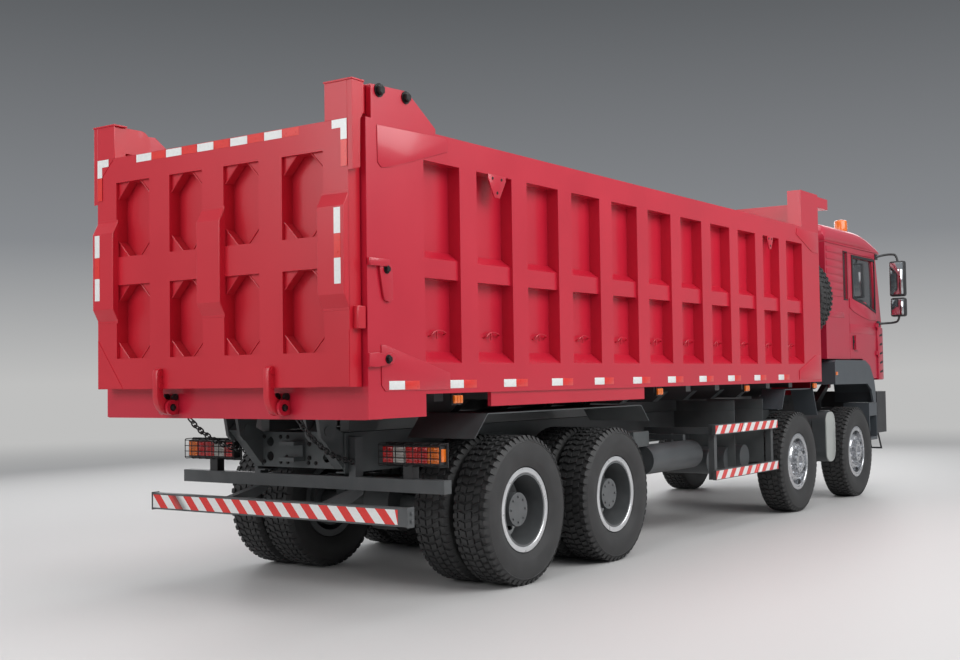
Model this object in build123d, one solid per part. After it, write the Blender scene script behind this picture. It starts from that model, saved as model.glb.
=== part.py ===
from build123d import *
import math
import os
from collections import namedtuple

os.makedirs("parts", exist_ok=True)

# Overall stations
# Built with +X to the truck's right, +Y forward from the rearmost axle and +Z up.
# Turned at the end so that the front faces -Y about the middle of the footprint.
rear_extent = -1905
front_extent = 8905
tandem_pitch = 1350
bogie_to_steer = 4150
steer_pitch = 1950
rear_axle_y = 0
drive_axle_y = rear_axle_y + tandem_pitch
second_axle_y = drive_axle_y + bogie_to_steer
first_axle_y = second_axle_y + steer_pitch
seam = 5
run_gap = 0.05
overcut = 20


# Shape helpers
def span_box(x_span, y_span, z_span):
    size = [high - low for low, high in (x_span, y_span, z_span)]
    mid = [(high + low) / 2 for low, high in (x_span, y_span, z_span)]
    return Pos(*mid) * Box(*size)


def rod(start, end, radius):
    path = Vector(*end) - Vector(*start)
    base = Plane(origin=start, z_dir=path)
    low = (Align.CENTER, Align.CENTER, Align.MIN)
    return base * Cylinder(radius, path.length, align=low)


def outline(points):
    return make_face(Polyline(*points, close=True))


def plate_x(points, low, high):
    face = Plane(origin=(low, 0, 0), x_dir=(0, 1, 0), z_dir=(1, 0, 0)) * outline(points)
    return extrude(face, amount=high - low, dir=(1, 0, 0))


def plate_y(points, low, high):
    face = Plane(origin=(0, low, 0), x_dir=(1, 0, 0), z_dir=(0, -1, 0)) * outline(points)
    return extrude(face, amount=high - low, dir=(0, 1, 0))


def plate_z(points, low, high):
    face = Plane(origin=(0, 0, low)) * outline(points)
    return extrude(face, amount=high - low, dir=(0, 0, 1))


def turned_x(points):
    face = Plane(origin=(0, 0, 0), x_dir=(1, 0, 0), z_dir=(0, -1, 0)) * outline(points)
    return revolve(face, Axis.X)


def pipe(points, radius):
    path = Polyline(*points)
    start = Plane(origin=path @ 0, z_dir=path % 0)
    return sweep(start * Circle(radius), path=path, transition=Transition.RIGHT)


def fuse(shapes):
    body = shapes[0]
    for shape in shapes[1:]:
        body = body + shape
    return body


def left(shape):
    return shape.mirror(Plane.YZ)


def pair(shape):
    return [shape, left(shape)]


nodes = {}


def keep(name, *shapes):
    solids = []
    for shape in shapes:
        solids.extend(shape.solids())
    nodes[name] = solids


# Road wheels
tyre_radius = 540
tyre_width = 310
bead_radius = 262
tread_width = 250
shoulder_drop = 22
bead_width = 212
wall_radius = 410
flange_radius = 303
flange_thickness = 14
barrel_thickness = 11
wheel_z = tyre_radius
front_wheel_x = 1076
outer_twin_x = 1105
twin_pitch = 345
inner_twin_x = outer_twin_x - twin_pitch

tyre_profile = [
    (-bead_width / 2, bead_radius),
    (-bead_width / 2, flange_radius),
    (-tyre_width / 2, wall_radius),
    (-tyre_width / 2, tyre_radius - 2 * shoulder_drop),
    (-tread_width / 2, tyre_radius),
    (tread_width / 2, tyre_radius),
    (tyre_width / 2, tyre_radius - 2 * shoulder_drop),
    (tyre_width / 2, wall_radius),
    (bead_width / 2, flange_radius),
    (bead_width / 2, bead_radius),
]
tyre_ring = turned_x(tyre_profile)

flange_face = bead_width / 2 + flange_thickness
barrel_bore = bead_radius - barrel_thickness
barrel_ring = turned_x([
    (-flange_face, flange_radius),
    (-bead_width / 2, flange_radius),
    (-bead_width / 2, bead_radius),
    (bead_width / 2, bead_radius),
    (bead_width / 2, flange_radius),
    (flange_face, flange_radius),
    (flange_face, barrel_bore),
    (-flange_face, barrel_bore),
])

# Front rims, hubs and brake drums
hand_hole_count = 10
hand_hole_radius = 23
hand_hole_circle = 222
disc_thickness = 14
cone_root_x = 32
cone_top_x = 98
cone_top_radius = 186
hub_radius = 112
hub_nose_x = 148
hub_back_x = -38
hub_recess_radius = 62
hub_recess_depth = 22
spindle_radius = 45
spindle_end_x = 96
drum_radius = 210
drum_wall = 16
drum_open_x = -96
drum_back_x = -22
barrel_lap = 4

front_disc = turned_x([
    (cone_root_x, barrel_bore + barrel_lap),
    (cone_root_x + disc_thickness, barrel_bore + barrel_lap),
    (cone_top_x + disc_thickness, cone_top_radius),
    (cone_top_x + disc_thickness, hub_radius - barrel_lap),
    (cone_top_x, hub_radius - barrel_lap),
    (cone_top_x, cone_top_radius),
])
front_hub = rod((hub_back_x, 0, 0), (hub_nose_x, 0, 0), hub_radius)
front_hub -= rod((hub_nose_x - hub_recess_depth, 0, 0), (hub_nose_x + overcut, 0, 0), hub_recess_radius)
front_drum = turned_x([
    (drum_open_x, drum_radius),
    (drum_back_x, drum_radius),
    (drum_back_x, hub_radius - barrel_lap),
    (drum_back_x - drum_wall, hub_radius - barrel_lap),
    (drum_back_x - drum_wall, drum_radius - drum_wall),
    (drum_open_x, drum_radius - drum_wall),
])
front_rim = fuse([barrel_ring, front_disc, front_hub, front_drum])
front_rim -= rod((hub_back_x - overcut, 0, 0), (spindle_end_x + seam, 0, 0), spindle_radius + run_gap)
for step in range(hand_hole_count):
    turn = Rot(360 * step / hand_hole_count, 0, 0)
    hole = rod((0, 0, hand_hole_circle), (hub_nose_x, 0, hand_hole_circle), hand_hole_radius)
    front_rim -= turn * hole

# Rear rims, hubs and brake drums
twin_face_x = (outer_twin_x + inner_twin_x) / 2
twin_disc_thickness = 13
twin_cone_drop = 62
twin_flat_radius = 178
rear_hub_radius = 122
rear_hub_nose_x = 1168
rear_hub_back_x = 700
rear_spindle_radius = 60
rear_spindle_end_x = 1100
rear_drum_open_x = 640
rear_drum_back_x = 800
rear_hole_radius = 28
rear_hole_circle = 214
rear_hole_count = 8

outer_disc = turned_x([
    (twin_face_x, rear_hub_radius - barrel_lap),
    (twin_face_x, twin_flat_radius),
    (twin_face_x + twin_cone_drop, barrel_bore + barrel_lap),
    (twin_face_x + twin_cone_drop + twin_disc_thickness, barrel_bore + barrel_lap),
    (twin_face_x + twin_disc_thickness, twin_flat_radius),
    (twin_face_x + twin_disc_thickness, rear_hub_radius - barrel_lap),
])
inner_disc = outer_disc.mirror(Plane(origin=(twin_face_x, 0, 0), z_dir=(1, 0, 0)))
rear_hub = rod((rear_hub_back_x, 0, 0), (rear_hub_nose_x, 0, 0), rear_hub_radius)
rear_drum = turned_x([
    (rear_drum_open_x, drum_radius),
    (rear_drum_back_x, drum_radius),
    (rear_drum_back_x, rear_hub_radius - barrel_lap),
    (rear_drum_back_x - drum_wall, rear_hub_radius - barrel_lap),
    (rear_drum_back_x - drum_wall, drum_radius - drum_wall),
    (rear_drum_open_x, drum_radius - drum_wall),
])
twin_rim = fuse([
    Pos(outer_twin_x, 0, 0) * barrel_ring,
    Pos(inner_twin_x, 0, 0) * barrel_ring,
    outer_disc,
    inner_disc,
    rear_hub,
    rear_drum,
])
twin_rim -= rod(
    (rear_hub_back_x - overcut, 0, 0), (rear_spindle_end_x + seam, 0, 0), rear_spindle_radius + run_gap
)
for step in range(rear_hole_count):
    turn = Rot(360 * step / rear_hole_count, 0, 0)
    hole = rod((inner_twin_x, 0, rear_hole_circle), (outer_twin_x, 0, rear_hole_circle), rear_hole_radius)
    twin_rim -= turn * hole

WheelSet = namedtuple("WheelSet", "label station twin")
wheel_sets = [
    WheelSet("1", first_axle_y, False),
    WheelSet("2", second_axle_y, False),
    WheelSet("3", drive_axle_y, True),
    WheelSet("4", rear_axle_y, True),
]
for row in wheel_sets:
    for side in ("right", "left"):
        if row.twin:
            tyres = [Pos(x, 0, 0) * tyre_ring for x in (outer_twin_x, inner_twin_x)]
            rims = [twin_rim]
        else:
            tyres = [Pos(front_wheel_x, 0, 0) * tyre_ring]
            rims = [Pos(front_wheel_x, 0, 0) * front_rim]
        placed = [Pos(0, row.station, wheel_z) * s for s in tyres + rims]
        if side == "left":
            placed = [left(s) for s in placed]
        keep(f"tyre_{row.label}_{side}", *placed[: len(tyres)])
        keep(f"rim_{row.label}_{side}", *placed[len(tyres):])

# Steering knuckles
kingpin_x = 950
kingpin_radius = 25
boss_radius = 52
boss_half_height = 60
ear_gap = 1
ear_height = 34
web_inner = 56
web_thickness = 26
web_half_width = 60
ear_low = boss_half_height + ear_gap
ear_high = ear_low + ear_height
web_x = (kingpin_x + web_inner, kingpin_x + web_inner + web_thickness)


def knuckle():
    ears = [
        rod((kingpin_x, 0, sign * ear_low), (kingpin_x, 0, sign * ear_high), boss_radius)
        + span_box(
            (kingpin_x, web_x[1]),
            (-boss_radius, boss_radius),
            tuple(sorted((sign * ear_low, sign * ear_high))),
        )
        for sign in (1, -1)
    ]
    pin = rod((kingpin_x, 0, -ear_high), (kingpin_x, 0, ear_high), kingpin_radius)
    web = span_box(web_x, (-web_half_width, web_half_width), (-ear_high, ear_high))
    spindle = rod((web_x[0], 0, 0), (front_wheel_x + spindle_end_x, 0, 0), spindle_radius)
    return fuse(ears + [pin, web, spindle])


knuckle_shape = knuckle()
for row in wheel_sets[:2]:
    placed = Pos(0, row.station, wheel_z) * knuckle_shape
    keep(f"knuckle_{row.label}_right", placed)
    keep(f"knuckle_{row.label}_left", left(placed))

# Front axle beams
beam_half_width = 45
beam_depth = 84
beam_drop = 62
beam_bend_inner = 640
beam_bend_outer = 800
beam_web = 24
beam_flange = 20
beam_end_x = kingpin_x - boss_radius / 2
beam_flat_top = wheel_z + beam_depth / 2 - beam_drop
beam_flat_low = beam_flat_top - beam_depth


def axle_beam(station):
    top = [
        (-beam_end_x, wheel_z + beam_depth / 2),
        (-beam_bend_outer, wheel_z + beam_depth / 2),
        (-beam_bend_inner, beam_flat_top),
        (beam_bend_inner, beam_flat_top),
        (beam_bend_outer, wheel_z + beam_depth / 2),
        (beam_end_x, wheel_z + beam_depth / 2),
    ]
    low = [(x, z - beam_depth) for x, z in reversed(top)]
    body = plate_y(top + low, station - beam_half_width, station + beam_half_width)
    pocket_x = (-beam_bend_inner, beam_bend_inner)
    pocket_z = (beam_flat_low + beam_flange, beam_flat_top - beam_flange)
    for sign in (1, -1):
        near, far = sorted((sign * beam_web / 2, sign * (beam_half_width + overcut)))
        body -= span_box(pocket_x, (station + near, station + far), pocket_z)
    for sign in (1, -1):
        x = sign * kingpin_x
        low_z, high_z = wheel_z - boss_half_height, wheel_z + boss_half_height
        body += rod((x, station, low_z), (x, station, high_z), boss_radius)
        body -= rod(
            (x, station, low_z - overcut), (x, station, high_z + overcut), kingpin_radius + run_gap
        )
    return body


keep("front_axles", axle_beam(first_axle_y), axle_beam(second_axle_y))

# Chassis rails and cross members
rail_outer_x = 425
rail_flange = 80
rail_gauge = 9
rail_low = 850
rail_top = 1130
rail_rear = -1050
rail_front = 8420
cross_depth = 150
cross_width = 90
cross_gauge = 9
rail_inner_x = rail_outer_x - rail_flange
web_inner_x = rail_outer_x - rail_gauge

rail = span_box((rail_inner_x, rail_outer_x), (rail_rear, rail_front), (rail_low, rail_top))
rail -= span_box(
    (rail_inner_x - overcut, web_inner_x),
    (rail_rear - overcut, rail_front + overcut),
    (rail_low + rail_gauge, rail_top - rail_gauge),
)
keep("frame_rails", *pair(rail))

cross_stations = [
    0.035, 0.095, 0.185, 0.275, 0.365, 0.455, 0.545, 0.635, 0.715, 0.985,
]
cross_station_shares = cross_stations
rail_length = rail_front - rail_rear
cross_z = ((rail_low + rail_top - cross_depth) / 2, (rail_low + rail_top + cross_depth) / 2)
members = []
for share in cross_station_shares:
    y = rail_rear + share * rail_length
    member = span_box((-web_inner_x, web_inner_x), (y, y + cross_width), cross_z)
    member -= span_box(
        (-web_inner_x - overcut, web_inner_x + overcut),
        (y + cross_gauge, y + cross_width + overcut),
        (cross_z[0] + cross_gauge, cross_z[1] - cross_gauge),
    )
    members.append(member)

# Rear end plate with the towing jaw
end_plate_low = 880
end_plate_thickness = 14
end_plate_half = 440
tow_z = 1000
tow_jaw_length = 120
tow_jaw_half = 70
tow_ear_thickness = 28
tow_mouth = 84
tow_pin_bore = 20
sight_hole_radius = 34
SightHole = namedtuple("SightHole", "x z")
sight_holes = [
    SightHole(0.62, 0.72), SightHole(0.62, 0.30), SightHole(-0.62, 0.72), SightHole(-0.62, 0.30),
]
end_plate_y = (rail_rear - end_plate_thickness, rail_rear)
end_plate = span_box((-end_plate_half, end_plate_half), end_plate_y, (end_plate_low, rail_top))
for hole in sight_holes:
    x = hole.x * end_plate_half
    z = end_plate_low + hole.z * (rail_top - end_plate_low)
    end_plate -= rod(
        (x, end_plate_y[0] - overcut, z), (x, end_plate_y[1] + overcut, z), sight_hole_radius
    )
jaw_y = (end_plate_y[0] - tow_jaw_length, end_plate_y[0])
jaw_z = (tow_z - tow_mouth / 2 - tow_ear_thickness, tow_z + tow_mouth / 2 + tow_ear_thickness)
tow_jaw = span_box((-tow_jaw_half, tow_jaw_half), jaw_y, jaw_z)
tow_jaw -= span_box(
    (-tow_jaw_half - overcut, tow_jaw_half + overcut),
    (jaw_y[0] - overcut, jaw_y[1] - tow_ear_thickness),
    (tow_z - tow_mouth / 2, tow_z + tow_mouth / 2),
)
tow_pin_y = jaw_y[0] + tow_jaw_half
tow_jaw -= rod(
    (0, tow_pin_y, jaw_z[0] - overcut), (0, tow_pin_y, jaw_z[1] + overcut), tow_pin_bore
)

# Leaf springs
spring_width = 76
spring_mid_x = rail_outer_x - rail_flange / 2
front_leaf_count = 4
front_leaf_depth = 20
front_spring_half = 760
front_leaf_step = 150
front_eye_z = 800
front_seat_z = beam_flat_top
spring_sag_share = 0.5


def front_spring(station):
    leaves = []
    top_z = front_seat_z + front_leaf_count * front_leaf_depth
    rise = front_eye_z - top_z
    for index in range(front_leaf_count):
        half = front_spring_half - index * front_leaf_step
        lift = rise * (half / front_spring_half) ** 2
        flat = front_leaf_step / 2
        upper = [(-half, lift), (-half / 2, lift / 4), (-flat, 0), (flat, 0), (half / 2, lift / 4), (half, lift)]
        z = top_z - index * front_leaf_depth
        high = [(station + y, z + dz) for y, dz in upper]
        low = [(y, zz - front_leaf_depth) for y, zz in reversed(high)]
        leaves.append(plate_x(high + low, spring_mid_x - spring_width / 2, spring_mid_x + spring_width / 2))
    pack = fuse(leaves)
    hangers = []
    for sign in (1, -1):
        end = station + sign * front_spring_half
        near = end - sign * rail_flange
        hangers.append(
            span_box(
                (rail_inner_x, rail_outer_x),
                tuple(sorted((near, end))),
                (front_eye_z - front_leaf_depth, rail_low),
            )
        )
    return fuse([pack] + hangers)


# Bogie springs on a central trunnion
trunnion_y = (rear_axle_y + drive_axle_y) / 2
trunnion_z = 710
trunnion_radius = 62
bogie_leaf_depth = 24
bogie_leaf_count = 5
bogie_spring_x = (445, 535)
bogie_seat_z = 632
bogie_half = tandem_pitch / 2 + 70
bogie_step = 120
bogie_top_z = bogie_seat_z + bogie_leaf_depth * bogie_leaf_count + 24


def bogie_spring():
    leaves = []
    for index in range(bogie_leaf_count):
        half = bogie_half - index * bogie_step
        drop = bogie_seat_z + bogie_leaf_depth - (bogie_seat_z + bogie_leaf_depth)
        z = bogie_seat_z + index * bogie_leaf_depth
        leaves.append(
            span_box(bogie_spring_x, (trunnion_y - half, trunnion_y + half), (z, z + bogie_leaf_depth))
        )
    return fuse(leaves)


saddle_half = 110
saddle_low = 540
hanger_x = (rail_outer_x, bogie_spring_x[1])
bogie_clamp_top = bogie_seat_z + bogie_leaf_depth * bogie_leaf_count + bogie_leaf_depth
saddle = span_box(bogie_spring_x, (trunnion_y - saddle_half, trunnion_y + saddle_half), (saddle_low, bogie_seat_z))
clamp = span_box(
    bogie_spring_x,
    (trunnion_y - saddle_half, trunnion_y + saddle_half),
    (bogie_seat_z + bogie_leaf_depth * bogie_leaf_count, bogie_clamp_top),
)
bracket_half = 230
trunnion_low = 520
trunnion_bracket = plate_x(
    [
        (trunnion_y - bracket_half, rail_top - rail_flange),
        (trunnion_y - saddle_half, trunnion_low),
        (trunnion_y + saddle_half, trunnion_low),
        (trunnion_y + bracket_half, rail_top - rail_flange),
    ],
    rail_outer_x,
    bogie_spring_x[0],
)
bogie_pack = fuse([bogie_spring(), saddle, clamp, trunnion_bracket])
trunnion_tube = rod(
    (-rail_outer_x, trunnion_y, trunnion_z), (rail_outer_x, trunnion_y, trunnion_z), trunnion_radius
)
springs = pair(front_spring(first_axle_y)) + pair(front_spring(second_axle_y)) + pair(bogie_pack)
keep("leaf_springs", *springs)
keep("crossmembers", *members, end_plate + tow_jaw, trunnion_tube)

# Drive axles
tube_radius = 70
tube_end_x = 690
bowl_radius = 215
bowl_half = 120
bowl_nose_radius = 95
bowl_nose_length = 330
seat_half = 60


def drive_axle(station):
    y, z = station, wheel_z
    body = [
        rod((-tube_end_x, y, z), (tube_end_x, y, z), tube_radius),
        rod((-rear_spindle_end_x, y, z), (rear_spindle_end_x, y, z), rear_spindle_radius),
        rod((-bowl_half, y, z), (bowl_half, y, z), bowl_radius),
        rod((0, y, z), (0, y + bowl_nose_length, z), bowl_nose_radius),
    ]
    for sign in (1, -1):
        low_x, high_x = sorted(sign * x for x in bogie_spring_x)
        body.append(span_box((low_x, high_x), (y - seat_half, y + seat_half), (z, bogie_seat_z)))
    return fuse(body)


keep("drive_axles", drive_axle(rear_axle_y), drive_axle(drive_axle_y))

# Engine, gearbox and shafts
engine_x = (-330, 330)
engine_y = (7150, 8250)
engine_z = (800, 1480)
gearbox_half = 220
gearbox_y = (6660, 7150)
gearbox_z = (760, 1090)
shaft_radius = 55
shaft_z = 845
shaft_joint_y = 3750
engine = span_box(engine_x, engine_y, engine_z)
gearbox = span_box((-gearbox_half, gearbox_half), gearbox_y, gearbox_z)
first_shaft = rod((0, gearbox_y[0], shaft_z), (0, shaft_joint_y, shaft_z), shaft_radius)
second_shaft = pipe(
    [
        (0, shaft_joint_y, shaft_z),
        (0, drive_axle_y + bowl_nose_length + 2 * shaft_radius, wheel_z),
        (0, drive_axle_y + bowl_nose_length, wheel_z),
    ],
    shaft_radius,
)
between_shaft = rod((0, rear_axle_y + bowl_nose_length, wheel_z), (0, drive_axle_y - bowl_radius, wheel_z), shaft_radius)
keep("driveline", engine + gearbox + first_shaft + second_shaft, between_shaft)

# Tanks and air reservoirs
tank_y = (6425, 6735)
tank_z = (470, 1050)
tank_x = (600, 1180)
tank_corner = 120
cap_thickness = 20
tank_body = span_box(tank_x, tank_y, tank_z)
tank_body = fillet(tank_body.edges().filter_by(Axis.X), tank_corner)
fuel_y = (3300, 4750)
fuel_z = (500, 1060)
fuel_x = (-1150, -560)
fuel_corner = 90
fuel_tank = span_box(fuel_x, fuel_y, fuel_z)
fuel_tank = fillet(fuel_tank.edges().filter_by(Axis.Y), fuel_corner)
arm_depth = 60
tank_arm = span_box(
    (rail_outer_x, tank_x[0]),
    ((tank_y[0] + tank_y[1] - arm_depth) / 2, (tank_y[0] + tank_y[1] + arm_depth) / 2),
    (tank_z[1] - arm_depth - tank_corner, tank_z[1] - tank_corner),
)
fuel_arms = [
    span_box(
        (fuel_x[1], -rail_outer_x),
        (y, y + arm_depth),
        (fuel_z[1] - fuel_corner - arm_depth, fuel_z[1] - fuel_corner),
    )
    for y in (fuel_y[0] + arm_depth, fuel_y[1] - arm_depth - arm_depth)
]

reservoir_radius = 122
reservoir_x = (540, 1010)
reservoir_z = 650
Reservoir = namedtuple("Reservoir", "station")
reservoirs = [Reservoir(3690), Reservoir(4090), Reservoir(4490)]
long_radius = 135
long_y = (2450, 3480)
long_x = 880
long_z = 735
air = []
hanger_half = 25
for row in reservoirs:
    can = rod((reservoir_x[0], row.station, reservoir_z), (reservoir_x[1], row.station, reservoir_z), reservoir_radius)
    hanger = span_box(
        (reservoir_x[0], reservoir_x[0] + 2 * hanger_half),
        (row.station - hanger_half, row.station + hanger_half),
        (reservoir_z, rail_low + 3 * hanger_half),
    )
    foot = span_box(
        (rail_outer_x, reservoir_x[0] + 2 * hanger_half),
        (row.station - hanger_half, row.station + hanger_half),
        (rail_low + hanger_half, rail_low + 3 * hanger_half),
    )
    air.append(fuse([can, hanger, foot]))
long_can = rod((long_x, long_y[0], long_z), (long_x, long_y[1], long_z), long_radius)
long_feet = [
    span_box((rail_outer_x, long_x), (y, y + 2 * hanger_half), (rail_low + hanger_half, rail_low + 3 * hanger_half))
    + span_box((long_x - 2 * hanger_half, long_x), (y, y + 2 * hanger_half), (long_z, rail_low + 3 * hanger_half))
    for y in (long_y[0] + 4 * hanger_half, long_y[1] - 6 * hanger_half)
]
air.append(fuse([long_can] + long_feet))
keep("tanks", tank_body + tank_arm, fuse([fuel_tank] + fuel_arms), *air)

# Side guards
guard_x = (1165, 1200)
guard_y = (3370, 4925)
guard_rail_depth = 95
guard_top = 1020
guard_low = 495
post_width = 60
post_foot_z = (930, 990)
GuardPost = namedtuple("GuardPost", "inset")
guard_posts = [GuardPost(40), GuardPost(1450)]
rails = [
    span_box(guard_x, guard_y, (guard_top - guard_rail_depth, guard_top)),
    span_box(guard_x, guard_y, (guard_low, guard_low + guard_rail_depth)),
]
posts = [
    span_box(
        (guard_x[0] - post_width, guard_x[0]),
        (guard_y[0] + row.inset, guard_y[0] + row.inset + post_width),
        (guard_low, guard_top),
    )
    for row in guard_posts
]
right_arms = [
    span_box(
        (rail_outer_x, guard_x[0]),
        (guard_y[0] + row.inset, guard_y[0] + row.inset + post_width),
        post_foot_z,
    )
    for row in guard_posts
]
right_guard = fuse(rails + posts + right_arms)
left_arms = [
    span_box(
        (-guard_x[0], -rail_outer_x),
        (guard_y[0] + row.inset, guard_y[0] + row.inset + post_width),
        (fuel_z[1] + seam, fuel_z[1] + seam + post_width),
    )
    for row in guard_posts
]
left_drops = [
    span_box(
        (-guard_x[0], -guard_x[0] + post_width / 4),
        (guard_y[0] + row.inset, guard_y[0] + row.inset + post_width),
        (guard_low, fuel_z[1] + seam + post_width),
    )
    for row in guard_posts
]
left_guard = fuse([left(r) for r in rails] + left_arms + left_drops)
keep("side_guards", right_guard, left_guard)

# Rear underrun bumper, lamp bar and stays
underrun_y = (-1352, -1292)
underrun_z = (555, 675)
underrun_half = 1215
lamp_bar_y = (-1010, -930)
lamp_bar_z = (735, 825)
lamp_bar_half = 1255
stay_x = (430, 490)
stay_top = 1100
stay_foot = 700
underrun = span_box((-underrun_half, underrun_half), underrun_y, underrun_z)
lamp_bar = span_box((-lamp_bar_half, lamp_bar_half), lamp_bar_y, lamp_bar_z)
stay = plate_x(
    [
        (lamp_bar_y[1], stay_top),
        (lamp_bar_y[0], stay_top),
        (lamp_bar_y[0], lamp_bar_z[1]),
        (lamp_bar_y[0], lamp_bar_z[0]),
        (underrun_y[1], underrun_z[1]),
        (underrun_y[1], underrun_z[0]),
        (lamp_bar_y[1], stay_foot),
    ],
    *stay_x,
)
stay_link = span_box(
    (rail_outer_x, stay_x[0]), (lamp_bar_y[0], lamp_bar_y[1]), (rail_low, stay_top)
)
rear_bar = fuse([underrun, lamp_bar] + pair(stay) + pair(stay_link))
keep("rear_underrun", rear_bar)

# Lamps
tail_lamp_x = (720, 1215)
tail_lamp_y = (-995, -925)
tail_lamp_z = (925, 1050)
lamp_foot_x = (900, 980)
tail_lamp = span_box(tail_lamp_x, tail_lamp_y, tail_lamp_z)
lamp_foot = span_box(lamp_foot_x, tail_lamp_y, (lamp_bar_z[1], tail_lamp_z[0]))
tail_lamps = pair(tail_lamp + lamp_foot)

# Bed tipping pivot on the chassis
pivot_y = -1250
pivot_z = 1150
pivot_pin_radius = 38
pivot_block_radius = 72
pivot_block_x = (rail_inner_x, rail_outer_x)
pivot_eye_thickness = 26
pivot_block = plate_x(
    [
        (end_plate_y[0], end_plate_low),
        (end_plate_y[0], rail_top),
        (pivot_y, pivot_z + pivot_block_radius),
        (pivot_y - pivot_block_radius, pivot_z),
        (pivot_y, pivot_z - pivot_block_radius),
    ],
    *pivot_block_x,
)
pivot_pin = rod(
    (pivot_block_x[0] - pivot_eye_thickness - seam - seam, pivot_y, pivot_z),
    (pivot_block_x[1] + pivot_eye_thickness + seam + seam, pivot_y, pivot_z),
    pivot_pin_radius,
)
pivot_mount = pivot_block + pivot_pin

# Hoist foot bracket between the rails
hoist_y = 6490
hoist_z = 1030
hoist_pin_radius = 24
hoist_eye_half = 52
hoist_cheek_thickness = 25
hoist_cheek_half = 60
hoist_beam_half = 75
hoist_beam_z = (935, 965)
hoist_gap = 6
hoist_cheek_x = hoist_eye_half + hoist_gap
hoist_beam = span_box(
    (-web_inner_x, web_inner_x), (hoist_y - hoist_beam_half, hoist_y + hoist_beam_half), hoist_beam_z
)
cheeks = [
    plate_x(
        [
            (hoist_y - hoist_cheek_half, hoist_beam_z[1]),
            (hoist_y - hoist_cheek_half / 2, hoist_z + hoist_cheek_half / 2),
            (hoist_y + hoist_cheek_half / 2, hoist_z + hoist_cheek_half / 2),
            (hoist_y + hoist_cheek_half, hoist_beam_z[1]),
        ],
        hoist_cheek_x,
        hoist_cheek_x + hoist_cheek_thickness,
    )
]
cheeks.append(left(cheeks[0]))
hoist_pin = rod((-hoist_cheek_x, hoist_y, hoist_z), (hoist_cheek_x, hoist_y, hoist_z), hoist_pin_radius)
hoist_mount = fuse([hoist_beam, hoist_pin] + cheeks)

# Cab tilt pivots
cab_pivot_y = 8700
cab_pivot_z = 1330
cab_pivot_radius = 34
cab_pin_radius = 16
cab_lug_thickness = 20
cab_arm_root_y = 8260
cab_arm = plate_x(
    [
        (cab_arm_root_y, rail_top),
        (cab_pivot_y - cab_pivot_radius, cab_pivot_z + cab_pivot_radius / 2),
        (cab_pivot_y, cab_pivot_z + cab_pivot_radius),
        (cab_pivot_y + cab_pivot_radius, cab_pivot_z),
        (cab_pivot_y + cab_pivot_radius / 2, cab_pivot_z - cab_pivot_radius),
        (rail_front, rail_top),
    ],
    rail_inner_x,
    rail_outer_x,
)
cab_pin = rod(
    (rail_outer_x - overcut, cab_pivot_y, cab_pivot_z),
    (rail_outer_x + seam + cab_lug_thickness + seam, cab_pivot_y, cab_pivot_z),
    cab_pin_radius,
)
cab_mounts = pair(cab_arm + cab_pin)

# Spare wheel on its carrier
spare_x = 720
spare_y = 6445
spare_z = 2380
spare_post_y = (6620, 6680)
spare_post_half = 45
spare_disc_face = 60
spare_plate_radius = 150
spare_disc = turned_x([
    (spare_disc_face, 0),
    (spare_disc_face, barrel_bore + barrel_lap),
    (spare_disc_face + disc_thickness, barrel_bore + barrel_lap),
    (spare_disc_face + disc_thickness, 0),
])
spare_turn = Pos(spare_x, spare_y, spare_z) * Rot(0, 0, 90)
keep("spare_tyre", spare_turn * tyre_ring)
spare_rim = barrel_ring + spare_disc
for step in range(hand_hole_count):
    turn = Rot(360 * step / hand_hole_count, 0, 0)
    hole = rod((0, 0, hand_hole_circle), (bead_width / 2, 0, hand_hole_circle), hand_hole_radius)
    spare_rim -= turn * hole
keep("spare_rim", spare_turn * spare_rim)
spare_face_y = spare_y + spare_disc_face + disc_thickness
spare_post = span_box(
    (spare_x - spare_post_half, spare_x + spare_post_half), spare_post_y, (rail_top - rail_flange, spare_z)
)
spare_post += rod((spare_x, spare_face_y, spare_z), (spare_x, spare_post_y[1], spare_z), spare_plate_radius)
spare_foot = span_box(
    (rail_outer_x, spare_x + spare_post_half), spare_post_y, (rail_top - rail_flange, rail_top)
)
spare_carrier = spare_post + spare_foot
keep("mounting_brackets", *pair(pivot_mount), hoist_mount, *cab_mounts, spare_carrier)

# Front bumper with its lamps and loop steps
bumper_half = 1150
bumper_y = (8450, 8900)
bumper_z = (720, 1250)
bumper_wall = 45
bumper_corner = 90
bumper_base = span_box((-bumper_half, bumper_half), bumper_y, bumper_z)
bumper_base = fillet(bumper_base.edges().filter_by(Axis.Z).group_by(Axis.Y)[-1], bumper_corner)
bumper = bumper_base - span_box(
    (-bumper_half + bumper_wall, bumper_half - bumper_wall),
    (bumper_y[0] - overcut, bumper_y[1] - bumper_wall),
    (bumper_z[0] - overcut, bumper_z[1] + overcut),
)
headlamp_x = (720, 1030)
headlamp_z = (900, 1060)
headlamp_y = (bumper_y[1] - bumper_wall, bumper_y[1] + seam)
headlamp = span_box(headlamp_x, headlamp_y, headlamp_z)
bumper -= fuse(pair(headlamp))
bumper_arm_z = (960, 1040)
bumper_arm = span_box((rail_inner_x, rail_outer_x), (rail_front, bumper_y[1] - bumper_wall), bumper_arm_z)
loop_radius = 11
loop_x = (1000, 1130)
loop_top = bumper_z[0] + bumper_wall
loop_low = 517
loop_y = 8560
loop = pipe(
    [
        (loop_x[0], bumper_y[0] + bumper_wall, loop_top),
        (loop_x[0], loop_y + bumper_corner, loop_low),
        (loop_x[1], loop_y + bumper_corner, loop_low),
        (loop_x[1], bumper_y[0] + bumper_wall, loop_top),
    ],
    loop_radius,
)
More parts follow.
